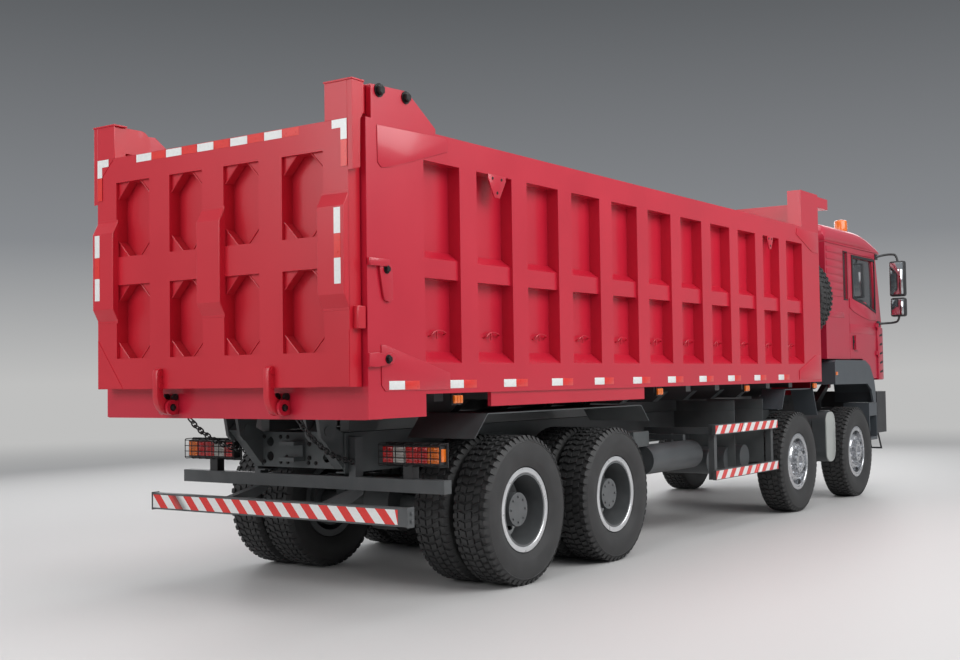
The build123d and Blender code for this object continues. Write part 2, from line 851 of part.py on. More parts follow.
loop_bar = span_box(
    (loop_x[0] - loop_radius, bumper_half - bumper_wall),
    (bumper_y[0] + bumper_wall / 2, bumper_y[0] + bumper_wall + bumper_wall / 2),
    (loop_top, loop_top + bumper_wall),
)
keep("front_bumper", fuse([bumper] + pair(bumper_arm) + pair(loop) + pair(loop_bar)))
keep("lamps", *tail_lamps, *pair(headlamp))

# Front mudguards, second axle mudguards and entry steps
fender_skin = 14
fender_x = (640, 1170)
skirt_thickness = 25
fender_top = 1650
fender_foot = 1115
FenderPoint = namedtuple("FenderPoint", "y z")
fender_line = [
    FenderPoint(6840, 1360), FenderPoint(6840, 1625), FenderPoint(6875, fender_top),
    FenderPoint(7960, fender_top), FenderPoint(8150, 1580), FenderPoint(8300, 1400),
    FenderPoint(8350, 1240), FenderPoint(8350, fender_foot),
]
fender_inside = [
    FenderPoint(8335, fender_foot), FenderPoint(8335, 1238), FenderPoint(8287, 1391),
    FenderPoint(8142, 1567), FenderPoint(7957, 1636), FenderPoint(6881, 1636),
    FenderPoint(6854, 1619), FenderPoint(6854, 1360),
]
skirt_inside = [
    FenderPoint(8260, fender_foot), FenderPoint(8180, 1280), FenderPoint(8030, 1355),
    FenderPoint(6960, 1360),
]
fender_shell = plate_x([tuple(p) for p in fender_line + fender_inside], fender_x[0], fender_x[1])
fender_skirt = plate_x(
    [tuple(p) for p in fender_line + skirt_inside], fender_x[1] - skirt_thickness, fender_x[1]
)
fender_arm_y = 7000
fender_arm = span_box(
    (rail_outer_x, fender_x[0] + skirt_thickness),
    (fender_arm_y, fender_arm_y + rail_flange / 2),
    (rail_top - rail_flange, rail_top - rail_flange / 2),
)
fender_strut = span_box(
    (fender_x[0], fender_x[0] + skirt_thickness),
    (fender_arm_y, fender_arm_y + rail_flange / 2),
    (rail_top - rail_flange, fender_top - fender_skin),
)
fender = fuse([fender_shell, fender_skirt, fender_arm, fender_strut])

step_x = (820, 1150)
step_y = (8130, 8440)
step_z = (640, fender_foot - seam)
step_tread = 40
step_wall = 20
step_well = (845, 985)
entry_step = span_box(step_x, step_y, step_z)
entry_step -= span_box(
    (step_x[0] + step_wall, step_x[1] + overcut),
    (step_y[0] + step_wall, step_y[1] - step_wall),
    (step_z[0] + step_tread, step_well[1] - step_tread),
)
step_arm = span_box((rail_outer_x, step_x[0]), (step_y[0] + step_wall, step_y[1] - step_wall),
                    (rail_low + rail_flange, rail_low + rail_flange + rail_flange))
entry_step += step_arm

arch_x = (930, 1190)
arch_arm_z = (1098, 1130)
arch_skin = 10
arch_top_y = (5190, 6030)
arch_top_z = 1330
arch_rear = (5085, 1120)
arch_front = (6160, 1020)
arch_line = [arch_rear, (arch_top_y[0], arch_top_z), (arch_top_y[1], arch_top_z), arch_front]
arch_inner = [
    (arch_front[0] - arch_skin, arch_front[1]),
    (arch_top_y[1] - arch_skin, arch_top_z - arch_skin),
    (arch_top_y[0] + arch_skin, arch_top_z - arch_skin),
    (arch_rear[0] + arch_skin, arch_rear[1]),
]
arch = plate_x(arch_line + arch_inner, *arch_x)
arch_arm_y = 5560
arch_arm = span_box(
    (rail_outer_x, arch_x[0] + skirt_thickness),
    (arch_arm_y, arch_arm_y + rail_flange),
    arch_arm_z,
)
arch_strut = span_box(
    (arch_x[0], arch_x[0] + skirt_thickness),
    (arch_arm_y, arch_arm_y + rail_flange),
    (arch_arm_z[0], arch_top_z - arch_skin),
)
arch = fuse([arch, arch_arm, arch_strut])
keep("mudguards", *pair(fender), *pair(entry_step), *pair(arch))

# Tipping body: sizes shared by its panels
bed_half = 1235
sheet_outer = 1135
sheet_thickness = 8
bed_rear = -1744
bed_front = 6200
wall_low = 1400
wall_top = 3120
lower_rail_top = 1600
ledge_top = 1680
upper_rail_low = 2930
floor_low = 1450
floor_thickness = 10
floor_top = floor_low + floor_thickness
sheet_inner = sheet_outer - sheet_thickness
headboard_rear = 6130

# Bed floor on cross bearers and long sills
sill_low = 1135
bearer_low = 1250
bearer_width = 100
sill_rear = -1000
sill_front = 6100
bearer_half = sheet_inner
rear_sill_depth = 150
rear_sill_half = 1220
bed_sill = span_box((rail_inner_x, rail_outer_x), (sill_rear, sill_front), (sill_low, bearer_low))
floor_plate = span_box((-sheet_inner, sheet_inner), (bed_rear, headboard_rear), (floor_low, floor_top))
rear_sill = span_box(
    (-rear_sill_half, rear_sill_half), (bed_rear, bed_rear + rear_sill_depth), (bearer_low, wall_low)
)
rear_sill += span_box(
    (-sheet_inner, sheet_inner), (bed_rear, bed_rear + rear_sill_depth), (bearer_low, floor_low)
)
bearer_first = -940
bearer_pitch = 640
bearer_count = 11
bearer_taper_x = (780, 900)
bearer_tip_low = 1345
bearer_profile = [
    (-bearer_half, floor_low),
    (-bearer_half, bearer_tip_low),
    (-bearer_taper_x[1], bearer_tip_low),
    (-bearer_taper_x[0], bearer_low),
    (bearer_taper_x[0], bearer_low),
    (bearer_taper_x[1], bearer_tip_low),
    (bearer_half, bearer_tip_low),
    (bearer_half, floor_low),
]
bearers = [
    plate_y(
        bearer_profile,
        bearer_first + i * bearer_pitch,
        bearer_first + i * bearer_pitch + bearer_width,
    )
    for i in range(bearer_count)
]
pivot_bearer = span_box(
    (-bearer_half, bearer_half),
    (pivot_y - bearer_width, pivot_y + bearer_width),
    (bearer_low, floor_low),
)
eye_x = (rail_outer_x + seam, rail_outer_x + seam + pivot_eye_thickness)
eye_inner_x = (rail_inner_x - seam - pivot_eye_thickness, rail_inner_x - seam)
eye_points = [
    (pivot_y - bearer_width, bearer_low),
    (pivot_y - pivot_block_radius, pivot_z - pivot_pin_radius),
    (pivot_y - pivot_pin_radius, pivot_z - pivot_block_radius),
    (pivot_y + pivot_pin_radius, pivot_z - pivot_block_radius),
    (pivot_y + pivot_block_radius, pivot_z - pivot_pin_radius),
    (pivot_y + bearer_width, bearer_low),
]
eyes = []
for x_span in (eye_x, eye_inner_x):
    eye = plate_x(eye_points, *x_span)
    eye -= rod(
        (x_span[0] - overcut, pivot_y, pivot_z), (x_span[1] + overcut, pivot_y, pivot_z),
        pivot_pin_radius + run_gap,
    )
    eyes.extend(pair(eye))

# Clevises on the rear sill that the tailgate hooks close round
hook_x = 527
hook_pin_y = -1796
hook_pin_z = 1326
hook_pin_radius = 17
clevis_gap = 62
clevis_thickness = 20
clevis_reach = 30
clevis_half = 46
clevises = []
for sign in (1, -1):
    for offset in (-clevis_gap / 2 - clevis_thickness, clevis_gap / 2):
        x = sign * hook_x + offset
        clevises.append(
            span_box(
                (x, x + clevis_thickness),
                (hook_pin_y - clevis_reach, bed_rear),
                (hook_pin_z - clevis_half, hook_pin_z + clevis_half),
            )
        )
    reach = clevis_gap / 2 + clevis_thickness
    clevises.append(
        rod(
            (sign * hook_x - reach, hook_pin_y, hook_pin_z),
            (sign * hook_x + reach, hook_pin_y, hook_pin_z),
            hook_pin_radius,
        )
    )
bed_floor = fuse([floor_plate, rear_sill, pivot_bearer] + pair(bed_sill) + bearers + eyes + clevises)
keep("bed_floor", bed_floor)

# Bed side walls
rib_count = 10
rib_first = -765
rib_pitch = 640
rib_width = 200
stringer_low = 2160
stringer_top = 2350
stringer_ledge = 60
stringer_outer = 1215
rear_post_front = -1165
rear_post_low = 1254
front_post_rear = 5670
wing_top = 3530
wing_inner = 1080
stub_front = 6530
stub_z = (3390, 3510)
bar_y = (-400, 1900)
bar_z = (1300, wall_low)
bar_x = (1190, 1220)


def rail_along(profile, y_low, y_high):
    return plate_y(profile, y_low, y_high)


def bed_side():
    sheet = span_box((sheet_inner, sheet_outer), (bed_rear, bed_front), (floor_low, wall_top))
    lower = rail_along(
        [
            (sheet_inner, wall_low),
            (bed_half, wall_low),
            (bed_half, lower_rail_top),
            (sheet_outer, ledge_top),
            (sheet_inner, ledge_top),
        ],
        bed_rear,
        bed_front,
    )
    upper = span_box((sheet_inner, bed_half), (bed_rear, bed_front), (upper_rail_low, wall_top))
    stringer = rail_along(
        [
            (sheet_outer - barrel_lap, stringer_low),
            (stringer_outer, stringer_low),
            (stringer_outer, stringer_top - stringer_ledge),
            (sheet_outer, stringer_top),
            (sheet_outer - barrel_lap, stringer_top),
        ],
        rear_post_front,
        front_post_rear,
    )
    ribs = []
    for index in range(rib_count):
        y = rib_first + index * rib_pitch
        ribs.append(
            span_box((sheet_outer - barrel_lap, bed_half), (y, y + rib_width), (lower_rail_top, upper_rail_low))
        )
    rear_post = span_box((sheet_inner, bed_half), (bed_rear, rear_post_front), (wall_low, wall_top))
    post_foot = span_box((rear_sill_half, bed_half), (bed_rear, rear_post_front), (rear_post_low, wall_low))
    front_post = span_box((sheet_inner, bed_half), (front_post_rear, bed_front), (wall_low, wall_top))
    wing = span_box((wing_inner, bed_half), (front_post_rear, bed_front), (wall_top, wing_top))
    stub = span_box((wing_inner, bed_half), (bed_front, stub_front), stub_z)
    bar = span_box(bar_x, bar_y, bar_z)
    return fuse([sheet, lower, upper, stringer, rear_post, post_foot, front_post, wing, stub, bar] + ribs)


# Tailgate hinge plates on the rear posts
hinge_y = -1614
hinge_z = 3307
hinge_pin_radius = 22
hinge_plate_x = (1196, bed_half)
hinge_plate = plate_x(
    [
        (-1692, wall_top),
        (-1692, 3335),
        (-1330, 3350),
        (-1030, 3152),
        (-1030, wall_top),
    ],
    *hinge_plate_x,
)
tailgate_arm_x = (1018, 1189)
hinge_pin = rod(
    (tailgate_arm_x[0], hinge_y, hinge_z), (hinge_plate_x[0], hinge_y, hinge_z), hinge_pin_radius
)
keep("bed_sides", *pair(fuse([bed_side(), hinge_plate, hinge_pin])))

# Headboard with its saddle for the hoist cover
head_thickness = bed_front - headboard_rear
head_low = bearer_low
head_top = 3440
head_rib_width = 120
head_rib_depth = 50
head_sheet = span_box((-sheet_inner, sheet_inner), (headboard_rear, bed_front), (head_low, wall_top))
head_crest = span_box((-wing_inner, wing_inner), (headboard_rear, bed_front), (wall_top, head_top))
lift_y = 6470
lift_z = 1470
lift_pin_radius = 22
saddle_x = (118, 150)
saddle_reach = 6560
saddle_span = (1330, 1600)
slot_rear = 85
slot_front = 30
saddle_plate = span_box(saddle_x, (bed_front, saddle_reach), saddle_span)
saddle_plate -= span_box(
    (saddle_x[0] - overcut, saddle_x[1] + overcut),
    (lift_y - slot_rear, lift_y + slot_front),
    (saddle_span[0] - overcut, lift_z + lift_pin_radius + seam),
)
keep("headboard", fuse([head_sheet, head_crest] + pair(saddle_plate)))

# Mudguards under the bed over the drive axles
flap_x = (600, 1188)
flap_skin = 8
flap_line = [(-567, 1078), (bar_y[0], bearer_low), (bar_y[1], bearer_low), (2048, 1107)]
flap_inner = [
    (flap_line[3][0] - flap_skin, flap_line[3][1]),
    (bar_y[1] - flap_skin / 2, bearer_low - flap_skin),
    (bar_y[0] + flap_skin / 2, bearer_low - flap_skin),
    (flap_line[0][0] + flap_skin, flap_line[0][1]),
]
flap = plate_x(flap_line + flap_inner, *flap_x)
keep("bed_mudguards", *pair(flap))

# Tailgate
gate_rear = -1860
gate_front = -1752
gate_half = 1190
gate_low = 1455
gate_top = 3100
gate_skin = 10
gate_rail_low = 1670
gate_mid = (2190, 2390)
gate_upper = 2920
stile_inner = 985
gate_rib_width = 205
GateRib = namedtuple("GateRib", "x")
gate_ribs = [GateRib(-530), GateRib(0), GateRib(530)]
gate_frame_front = gate_front - gate_skin
skin = span_box((-gate_half, gate_half), (gate_frame_front, gate_front), (gate_low, gate_top))
bars = [
    span_box((-gate_half, gate_half), (gate_rear, gate_frame_front), span)
    for span in ((gate_low, gate_rail_low), gate_mid, (gate_upper, gate_top))
]
stiles = pair(span_box((stile_inner, gate_half), (gate_rear, gate_frame_front), (gate_low, gate_top)))
gate_rib_solids = [
    span_box(
        (row.x - gate_rib_width / 2, row.x + gate_rib_width / 2),
        (gate_rear, gate_frame_front),
        (gate_low, gate_top),
    )
    for row in gate_ribs
]
post_top = 3335
arm_low = 3150
gate_post = span_box(tailgate_arm_x, (gate_rear, gate_front), (gate_top, post_top))
arm = span_box(tailgate_arm_x, (gate_rear, hinge_y), (arm_low, post_top))
arm += rod(
    (tailgate_arm_x[0], hinge_y, (arm_low + post_top) / 2 + post_top - post_top),
    (tailgate_arm_x[1], hinge_y, (arm_low + post_top) / 2 + post_top - post_top),
    (post_top - arm_low) / 2,
)
arm -= rod(
    (tailgate_arm_x[0] - overcut, hinge_y, hinge_z),
    (tailgate_arm_x[1] + overcut, hinge_y, hinge_z),
    hinge_pin_radius + run_gap,
)
gate_pad_depth = 45
gate_pad_z = (2000, 2640)
gate_pad_half = 90
gate_pads = []
for x in (-1090, 0, 1090):
    gate_pads.append(
        plate_x(
            [
                (gate_rear, gate_pad_z[0]),
                (gate_rear - gate_pad_depth, gate_pad_z[0] + gate_pad_half),
                (gate_rear - gate_pad_depth, gate_pad_z[1] - gate_pad_half),
                (gate_rear, gate_pad_z[1]),
            ],
            x - gate_pad_half,
            x + gate_pad_half,
        )
    )
keep(
    "tailgate",
    fuse([skin] + bars + stiles + gate_rib_solids + pair(gate_post) + pair(arm) + gate_pads),
)

# Tailgate hooks with forward jaws round the clevis pins
hook_thickness = 48
hook_back = gate_rear - 40
hook_top = 1575
hook_foot = 1272
jaw_half = 25
hook_nose = -1762
hook_points = [
    (gate_rear, hook_top),
    (hook_back, hook_top - 40),
    (hook_back, hook_foot + 24),
    (hook_back + 24, hook_foot),
    (hook_nose, hook_foot),
    (hook_nose, hook_pin_z - jaw_half),
    (hook_pin_y - jaw_half, hook_pin_z - jaw_half),
    (hook_pin_y - jaw_half, hook_pin_z + jaw_half),
    (hook_nose, hook_pin_z + jaw_half),
    (hook_nose, 1400),
    (gate_rear, gate_low - 10),
]
hook = plate_x(hook_points, hook_x - hook_thickness / 2, hook_x + hook_thickness / 2)
keep("tailgate_hooks", *pair(hook))

# Hoist: a foot rod, sliding tubes and the outer cover
rod_radius = 45
tube_wall = 9
tube_gap = 4
tube_count = 3
hoist_low = 1120
tube_low_step = 8
hoist_head_z = 2800
tube_top_step = 6
gland_length = 60
hoist_foot_radius = 44
lean = (lift_y - hoist_y) / (lift_z - hoist_z)


def on_hoist(z):
    return (0, hoist_y + lean * (z - hoist_z), z)


def hoist_tube(inner, outer, low, high, closed):
    bore_top = high - tube_wall if closed else high + overcut
    tube = rod(on_hoist(low), on_hoist(high), outer)
    tube -= rod(on_hoist(low + gland_length), on_hoist(bore_top), inner)
    tube -= rod(on_hoist(low - overcut), on_hoist(low + gland_length + overcut), inner - tube_gap + run_gap)
    return tube


foot_eye = rod((-hoist_eye_half, hoist_y, hoist_z), (hoist_eye_half, hoist_y, hoist_z), hoist_foot_radius)
foot_rod = rod(on_hoist(hoist_z), on_hoist(hoist_head_z - tube_wall - tube_top_step), rod_radius)
foot = foot_eye + foot_rod - rod(
    (-hoist_eye_half - overcut, hoist_y, hoist_z),
    (hoist_eye_half + overcut, hoist_y, hoist_z),
    hoist_pin_radius + run_gap,
)
keep("hoist_foot", foot)
inner = rod_radius + tube_gap
for index in range(tube_count):
    outer = inner + tube_wall
    top = hoist_head_z - tube_wall - tube_top_step
    low = hoist_low + (tube_count - index) * tube_low_step
    keep(f"hoist_stage_{index + 2}", hoist_tube(inner, outer, low, top, False))
    inner = outer + tube_gap
cover_outer = inner + tube_wall
cover = hoist_tube(inner, cover_outer, hoist_low, hoist_head_z, True)
for sign in (1, -1):
    cover += rod(
        (sign * (inner + tube_wall / 2), lift_y, lift_z),
        (sign * (saddle_x[1] + seam), lift_y, lift_z),
        lift_pin_radius,
    )
keep("hoist_cover", cover)

# Cab shell
cab_half = 1120
cab_wall = 60
cab_rear = 6720
cab_front = 8810
cab_low = 1665
cab_front_low = 1400
cab_belt = 2150
cab_eave = 3050
pillar_top_y = 8610
panel_thickness = 50
cab_inner = cab_half - cab_wall
door_gap = 6
door_rear = 7550
door_front = 8590
quarter_y = (7370, 7500)
quarter_z = (2400, 2975)
hinge_axis_x = cab_half + 16
hinge_axis_y = door_front + 14
door_pin_radius = 8
door_eye_radius = 14
door_ear_height = 26
door_eye_height = 50
door_eye_gap = 1
hinge_leaf_length = 60
DoorHinge = namedtuple("DoorHinge", "z")
door_hinges = [DoorHinge(1720), DoorHinge(2080)]


def hinge_ears():
    ears = []
    for row in door_hinges:
        low, high = row.z - door_ear_height, row.z
        ear = rod((hinge_axis_x, hinge_axis_y, low), (hinge_axis_x, hinge_axis_y, high), door_eye_radius)
        ear += span_box(
            (cab_half, hinge_axis_x),
            (hinge_axis_y, hinge_axis_y + hinge_leaf_length / 2),
            (low, high),
        )
        pin_top = high + door_eye_gap + door_eye_height
        ear += rod((hinge_axis_x, hinge_axis_y, low), (hinge_axis_x, hinge_axis_y, pin_top), door_pin_radius)
        ears.append(ear)
    return ears


def hinge_leaves():
    leaves = []
    for row in door_hinges:
        low = row.z + door_eye_gap
        high = low + door_eye_height
        leaf = rod((hinge_axis_x, hinge_axis_y, low), (hinge_axis_x, hinge_axis_y, high), door_eye_radius)
        leaf += span_box(
            (cab_half + door_gap, hinge_axis_x),
            (hinge_axis_y - hinge_leaf_length, hinge_axis_y),
            (low, high),
        )
        leaf += span_box(
            (cab_half, hinge_axis_x),
            (hinge_axis_y - hinge_leaf_length, door_front - door_gap),
            (low, high),
        )
        leaf -= rod(
            (hinge_axis_x, hinge_axis_y, low - overcut),
            (hinge_axis_x, hinge_axis_y, high + overcut),
            door_pin_radius + run_gap,
        )
        leaves.append(leaf)
    return leaves


side_outline = [
    (cab_rear, cab_low),
    (cab_rear, cab_eave),
    (pillar_top_y, cab_eave),
    (cab_front, cab_belt),
    (cab_front, cab_front_low),
    (door_front + door_gap, cab_front_low),
    (door_front + door_gap, cab_belt + 60),
    (pillar_top_y - 90, cab_eave - 70),
    (door_rear - door_gap, cab_eave - 70),
    (door_rear - door_gap, cab_low),
]
cab_side = plate_x(side_outline, cab_inner, cab_half)
cab_side -= span_box((cab_inner - overcut, cab_half + overcut), quarter_y, quarter_z)
cab_side = fuse([cab_side] + hinge_ears())
keep("cab_sides", *pair(cab_side))

floor_z = (1665, 1715)
cab_floor = span_box(
    (-cab_inner, cab_inner), (cab_rear + panel_thickness, cab_front - panel_thickness), floor_z
)
lug_points = [
    (cab_pivot_y - 2 * cab_pivot_radius, floor_z[0]),
    (cab_pivot_y - cab_pivot_radius, cab_pivot_z - cab_pivot_radius / 2),
    (cab_pivot_y - cab_pivot_radius / 2, cab_pivot_z - cab_pivot_radius),
    (cab_pivot_y + cab_pivot_radius / 2, cab_pivot_z - cab_pivot_radius),
    (cab_pivot_y + cab_pivot_radius, cab_pivot_z - cab_pivot_radius / 2),
    (cab_pivot_y + cab_pivot_radius + seam, floor_z[0]),
]
lug = plate_x(lug_points, rail_outer_x + seam, rail_outer_x + seam + cab_lug_thickness)
lug -= rod(
    (rail_outer_x - overcut, cab_pivot_y, cab_pivot_z),
    (rail_outer_x + seam + cab_lug_thickness + overcut, cab_pivot_y, cab_pivot_z),
    cab_pin_radius + run_gap,
)
keep("cab_floor", fuse([cab_floor] + pair(lug)))

cab_back = span_box((-cab_inner, cab_inner), (cab_rear, cab_rear + panel_thickness), (floor_z[0], cab_eave))
keep("cab_back", cab_back)

roof_top = 3280
roof_line = [
    (cab_rear, cab_eave),
    (cab_rear, 3215),
    (7200, roof_top),
    (8150, roof_top),
    (8520, 3150),
    (pillar_top_y, cab_eave),
]
roof_inside = [
    (pillar_top_y - panel_thickness, cab_eave),
    (8485, 3112),
    (8130, roof_top - panel_thickness),
    (7205, roof_top - panel_thickness),
    (cab_rear + panel_thickness, 3175),
    (cab_rear + panel_thickness, cab_eave),
]
roof_shell = plate_x(roof_line + roof_inside, -cab_half, cab_half)
roof_cheek = pair(plate_x(roof_line, cab_inner, cab_half))
keep("cab_roof", fuse([roof_shell] + roof_cheek))

front_panel = span_box(
    (-cab_inner, cab_inner), (cab_front - panel_thickness, cab_front), (cab_front_low, cab_belt)
)
grille_x = 620
grille_z = (1480, 1980)
slat_count = 5
slat_depth = 40
grille_hole = span_box(
    (-grille_x, grille_x), (cab_front - panel_thickness / 2, cab_front + overcut), grille_z
)
front_panel -= grille_hole
slat_pitch = (grille_z[1] - grille_z[0]) / slat_count
for index in range(slat_count):
    z = grille_z[0] + index * slat_pitch + (slat_pitch - slat_depth) / 2
    front_panel += span_box(
        (-grille_x, grille_x), (cab_front - panel_thickness, cab_front), (z, z + slat_depth)
    )
keep("cab_front", front_panel)

# Cab glass
glass_thickness = 8
screen = plate_x(
    [
        (cab_front, cab_belt),
        (pillar_top_y, cab_eave),
        (pillar_top_y - glass_thickness - glass_thickness, cab_eave),
        (cab_front - glass_thickness - glass_thickness, cab_belt),
    ],
    -cab_inner,
    cab_inner,
)
quarter = span_box((cab_inner + cab_wall / 2, cab_inner + cab_wall / 2 + glass_thickness), quarter_y, quarter_z)
keep("cab_glass", screen, *pair(quarter))

# Cab inside
seat_x = (330, 830)
seat_y = (7050, 7600)
seat_z = (2000, 2120)
seat_back_depth = 120
seat_back_top = 2800
seat_base_inset = 90
seat = span_box(seat_x, seat_y, seat_z)
seat += span_box(seat_x, (seat_y[0], seat_y[0] + seat_back_depth), (seat_z[0], seat_back_top))
seat += span_box(
    (seat_x[0] + seat_base_inset, seat_x[1] - seat_base_inset),
    (seat_y[0] + seat_base_inset, seat_y[1] - seat_base_inset),
    (floor_z[1], seat_z[0]),
)
dash_y = (8360, cab_front - panel_thickness)
dash_z = (1800, 2140)
dash = span_box((-cab_inner, cab_inner), dash_y, dash_z)
wheel_x = -(seat_x[0] + seat_x[1]) / 2
steer_ring_radius = 230
steer_tube = 14
steer_y = 8130
steer_z = 2330
column = rod((wheel_x, dash_y[0] + overcut, dash_z[1] - 4 * overcut), (wheel_x, steer_y, steer_z), 2 * steer_tube)
ring_plane = Plane(origin=(wheel_x, steer_y, steer_z), z_dir=(0, steer_y - dash_y[0] - overcut, steer_z - dash_z[1] + 4 * overcut))
steer_disc = ring_plane * Cylinder(steer_ring_radius, steer_tube)
steer_disc -= ring_plane * Cylinder(steer_ring_radius - 2 * steer_tube, steer_tube + overcut)
spoke_bar = ring_plane * Box(2 * steer_ring_radius - 2 * steer_tube, 3 * steer_tube, steer_tube)
keep("cab_interior", seat, left(seat), fuse([dash, column, steer_disc, spoke_bar]))

# Doors hinged on vertical pins at their front edge
door_outline = [
    (door_rear, cab_low + 4),
    (door_rear, cab_eave - 76),
    (pillar_top_y - 96, cab_eave - 76),
    (door_front, cab_belt + 60),
    (door_front, 1420),
    (8420, 1420),
    (8190, 1600),
    (7990, cab_low + 4),
]
window = [
    (7700, 2390),
    (7700, 2930),
    (8470, 2930),
    (8540, 2440),
    (8540, 2260),
    (8330, 2290),
    (8200, 2390),
]
door_panel = plate_x(door_outline, cab_inner + door_gap, cab_half)
door_panel -= plate_x(window, cab_inner - overcut, cab_half + overcut)
handle = span_box((cab_half, cab_half + 30), (7690, 7820), (1780, 1960))
door = fuse([door_panel, handle] + hinge_leaves())
keep("door_right", door)
keep("door_left", left(door))
door_glass = plate_x(window, cab_inner + cab_wall / 2, cab_inner + cab_wall / 2 + glass_thickness)
keep("door_glass_right", door_glass)
keep("door_glass_left", left(door_glass))

# Mirrors, visor and beacon
mirror_x = (1290, 1470)
mirror_y = (8700, 8790)
mirror_main_z = (2500, 2900)
mirror_wide_z = (2270, 2480)
mirror_arm_radius = 16
mirror_mid_x = (mirror_x[0] + mirror_x[1]) / 2
mirror_mid_y = (mirror_y[0] + mirror_y[1]) / 2
mirror_root_y = 8680
main_head = fillet(span_box(mirror_x, mirror_y, mirror_main_z).edges().filter_by(Axis.Y), 30)
wide_head = fillet(span_box(mirror_x, mirror_y, mirror_wide_z).edges().filter_by(Axis.Y), 30)
mirror_arm = pipe(
    [
        (cab_half, mirror_mid_y, 2200),
        (mirror_mid_x - 60, mirror_mid_y, 2200),
        (mirror_mid_x, mirror_mid_y, 2290),
        (mirror_mid_x, mirror_mid_y, 2880),
        (mirror_mid_x - 60, mirror_mid_y, 2980),
        (cab_half + 60, 8570, 2980),
        (cab_half, 8570, 2980),
    ],
    mirror_arm_radius,
)
mirror = fuse([main_head, wide_head, mirror_arm])
beacon_x = 800
beacon_y = 8000
beacon_radius = 75
beacon_z = (roof_top, 3440)
beacon = rod((beacon_x, beacon_y, beacon_z[0]), (beacon_x, beacon_y, beacon_z[1]), beacon_radius)
keep("cab_fittings", *pair(mirror), beacon)

# Chains between the rear sill and the chassis
chain_radius = 14
chain_seat = 0.3
chain_top = bearer_low - chain_seat
chain_foot_y = lamp_bar_y[0] - chain_seat
chain_right = pipe(
    [
        (550, -1640, chain_top), (550, -1640, 1222), (525, -1350, 1030),
        (475, -1060, 930), (475, chain_foot_y, 930),
    ],
    chain_radius,
)
chain_left = pipe(
    [
        (-450, -1668, chain_top), (-450, -1668, 1222), (-478, -1400, 1080),
        (-475, -1060, 985), (-475, chain_foot_y, 985),
    ],
    chain_radius,
)
keep("chains", chain_right, chain_left)

# Turn the truck round and set its middle over the origin
mid_y = (rear_extent + front_extent) / 2
final = Rot(0, 0, 180) * Pos(0, -mid_y, 0)
for name, solids in nodes.items():
    placed = [final * s for s in solids]
    shape = placed[0] if len(placed) == 1 else Compound(children=placed)
    export_step(shape, f"parts/{name}.step")
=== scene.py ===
import math

import bmesh
import bpy
from mathutils import Matrix, Vector


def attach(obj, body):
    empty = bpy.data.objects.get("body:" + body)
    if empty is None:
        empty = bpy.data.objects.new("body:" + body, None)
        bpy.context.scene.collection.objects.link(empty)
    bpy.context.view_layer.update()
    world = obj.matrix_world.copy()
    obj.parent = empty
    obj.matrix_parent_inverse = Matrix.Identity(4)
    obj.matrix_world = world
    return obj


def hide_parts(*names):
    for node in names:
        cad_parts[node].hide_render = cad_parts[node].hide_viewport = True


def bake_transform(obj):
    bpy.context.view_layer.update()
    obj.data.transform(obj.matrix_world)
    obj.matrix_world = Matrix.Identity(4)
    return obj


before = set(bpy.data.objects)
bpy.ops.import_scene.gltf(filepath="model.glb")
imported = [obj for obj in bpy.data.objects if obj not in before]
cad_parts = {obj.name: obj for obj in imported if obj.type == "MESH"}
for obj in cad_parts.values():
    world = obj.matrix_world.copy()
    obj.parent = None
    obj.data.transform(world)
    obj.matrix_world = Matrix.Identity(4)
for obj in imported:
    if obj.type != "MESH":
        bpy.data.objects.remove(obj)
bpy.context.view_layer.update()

# Camera
# Stands behind the truck's right rear corner at the photograph's viewing angle.
# The lens is 46.4 mm on a 36 mm wide sensor.
camera_data = bpy.data.cameras.new("camera")
camera_data.lens = 46.41
camera_data.sensor_width = 36
camera_data.clip_end = 300
camera = bpy.data.objects.new("camera", camera_data)
camera_place = (-6.1484, 11.0485, 1.4998)
yaw, pitch, roll = (math.radians(a) for a in (35.0593, 2.2083, -0.8215))
look = Vector((math.sin(yaw) * math.cos(pitch), -math.cos(yaw) * math.cos(pitch), math.sin(pitch)))
level = Vector((-math.cos(yaw), -math.sin(yaw), 0))
rise = level.cross(look)
side_axis = level * math.cos(roll) + rise * math.sin(roll)
up_axis = rise * math.cos(roll) - level * math.sin(roll)
turn = Matrix((side_axis, up_axis, -look)).transposed().to_4x4()
camera.matrix_world = Matrix.Translation(camera_place) @ turn
bpy.context.scene.collection.objects.link(camera)
bpy.context.scene.camera = camera
bpy.context.scene.view_settings.view_transform = "Standard"

# Studio
# A plain pale floor that fades into the surround far out, a grey surround that
# darkens upward behind the truck, and large soft lamps over and beside it.
floor_mesh = bpy.data.meshes.new("floor")
floor_reach = 90
fade_start, fade_end = 8, 24
horizon_grey = (0.52, 0.52, 0.515, 1)
floor_mesh.from_pydata(
    [(-floor_reach, -floor_reach, 0), (floor_reach, -floor_reach, 0),
     (floor_reach, floor_reach, 0), (-floor_reach, floor_reach, 0)], [], [(0, 1, 2, 3)]
)
floor = bpy.data.objects.new("floor", floor_mesh)
bpy.context.scene.collection.objects.link(floor)
floor_mat = bpy.data.materials.new("pale_floor")
floor_mat.use_nodes = True
floor_shader = floor_mat.node_tree.nodes["Principled BSDF"]
floor_shader.inputs["Roughness"].default_value = 0.55
tree = floor_mat.node_tree
grain = tree.nodes.new("ShaderNodeTexNoise")
grain.inputs["Scale"].default_value = 0.6
ramp = tree.nodes.new("ShaderNodeValToRGB")
ramp.color_ramp.elements[0].color = (0.50, 0.495, 0.49, 1)
ramp.color_ramp.elements[1].color = (0.56, 0.555, 0.55, 1)
tree.links.new(grain.outputs["Fac"], ramp.inputs["Fac"])
tree.links.new(ramp.outputs["Color"], floor_shader.inputs["Base Color"])
spot = tree.nodes.new("ShaderNodeTexCoord")
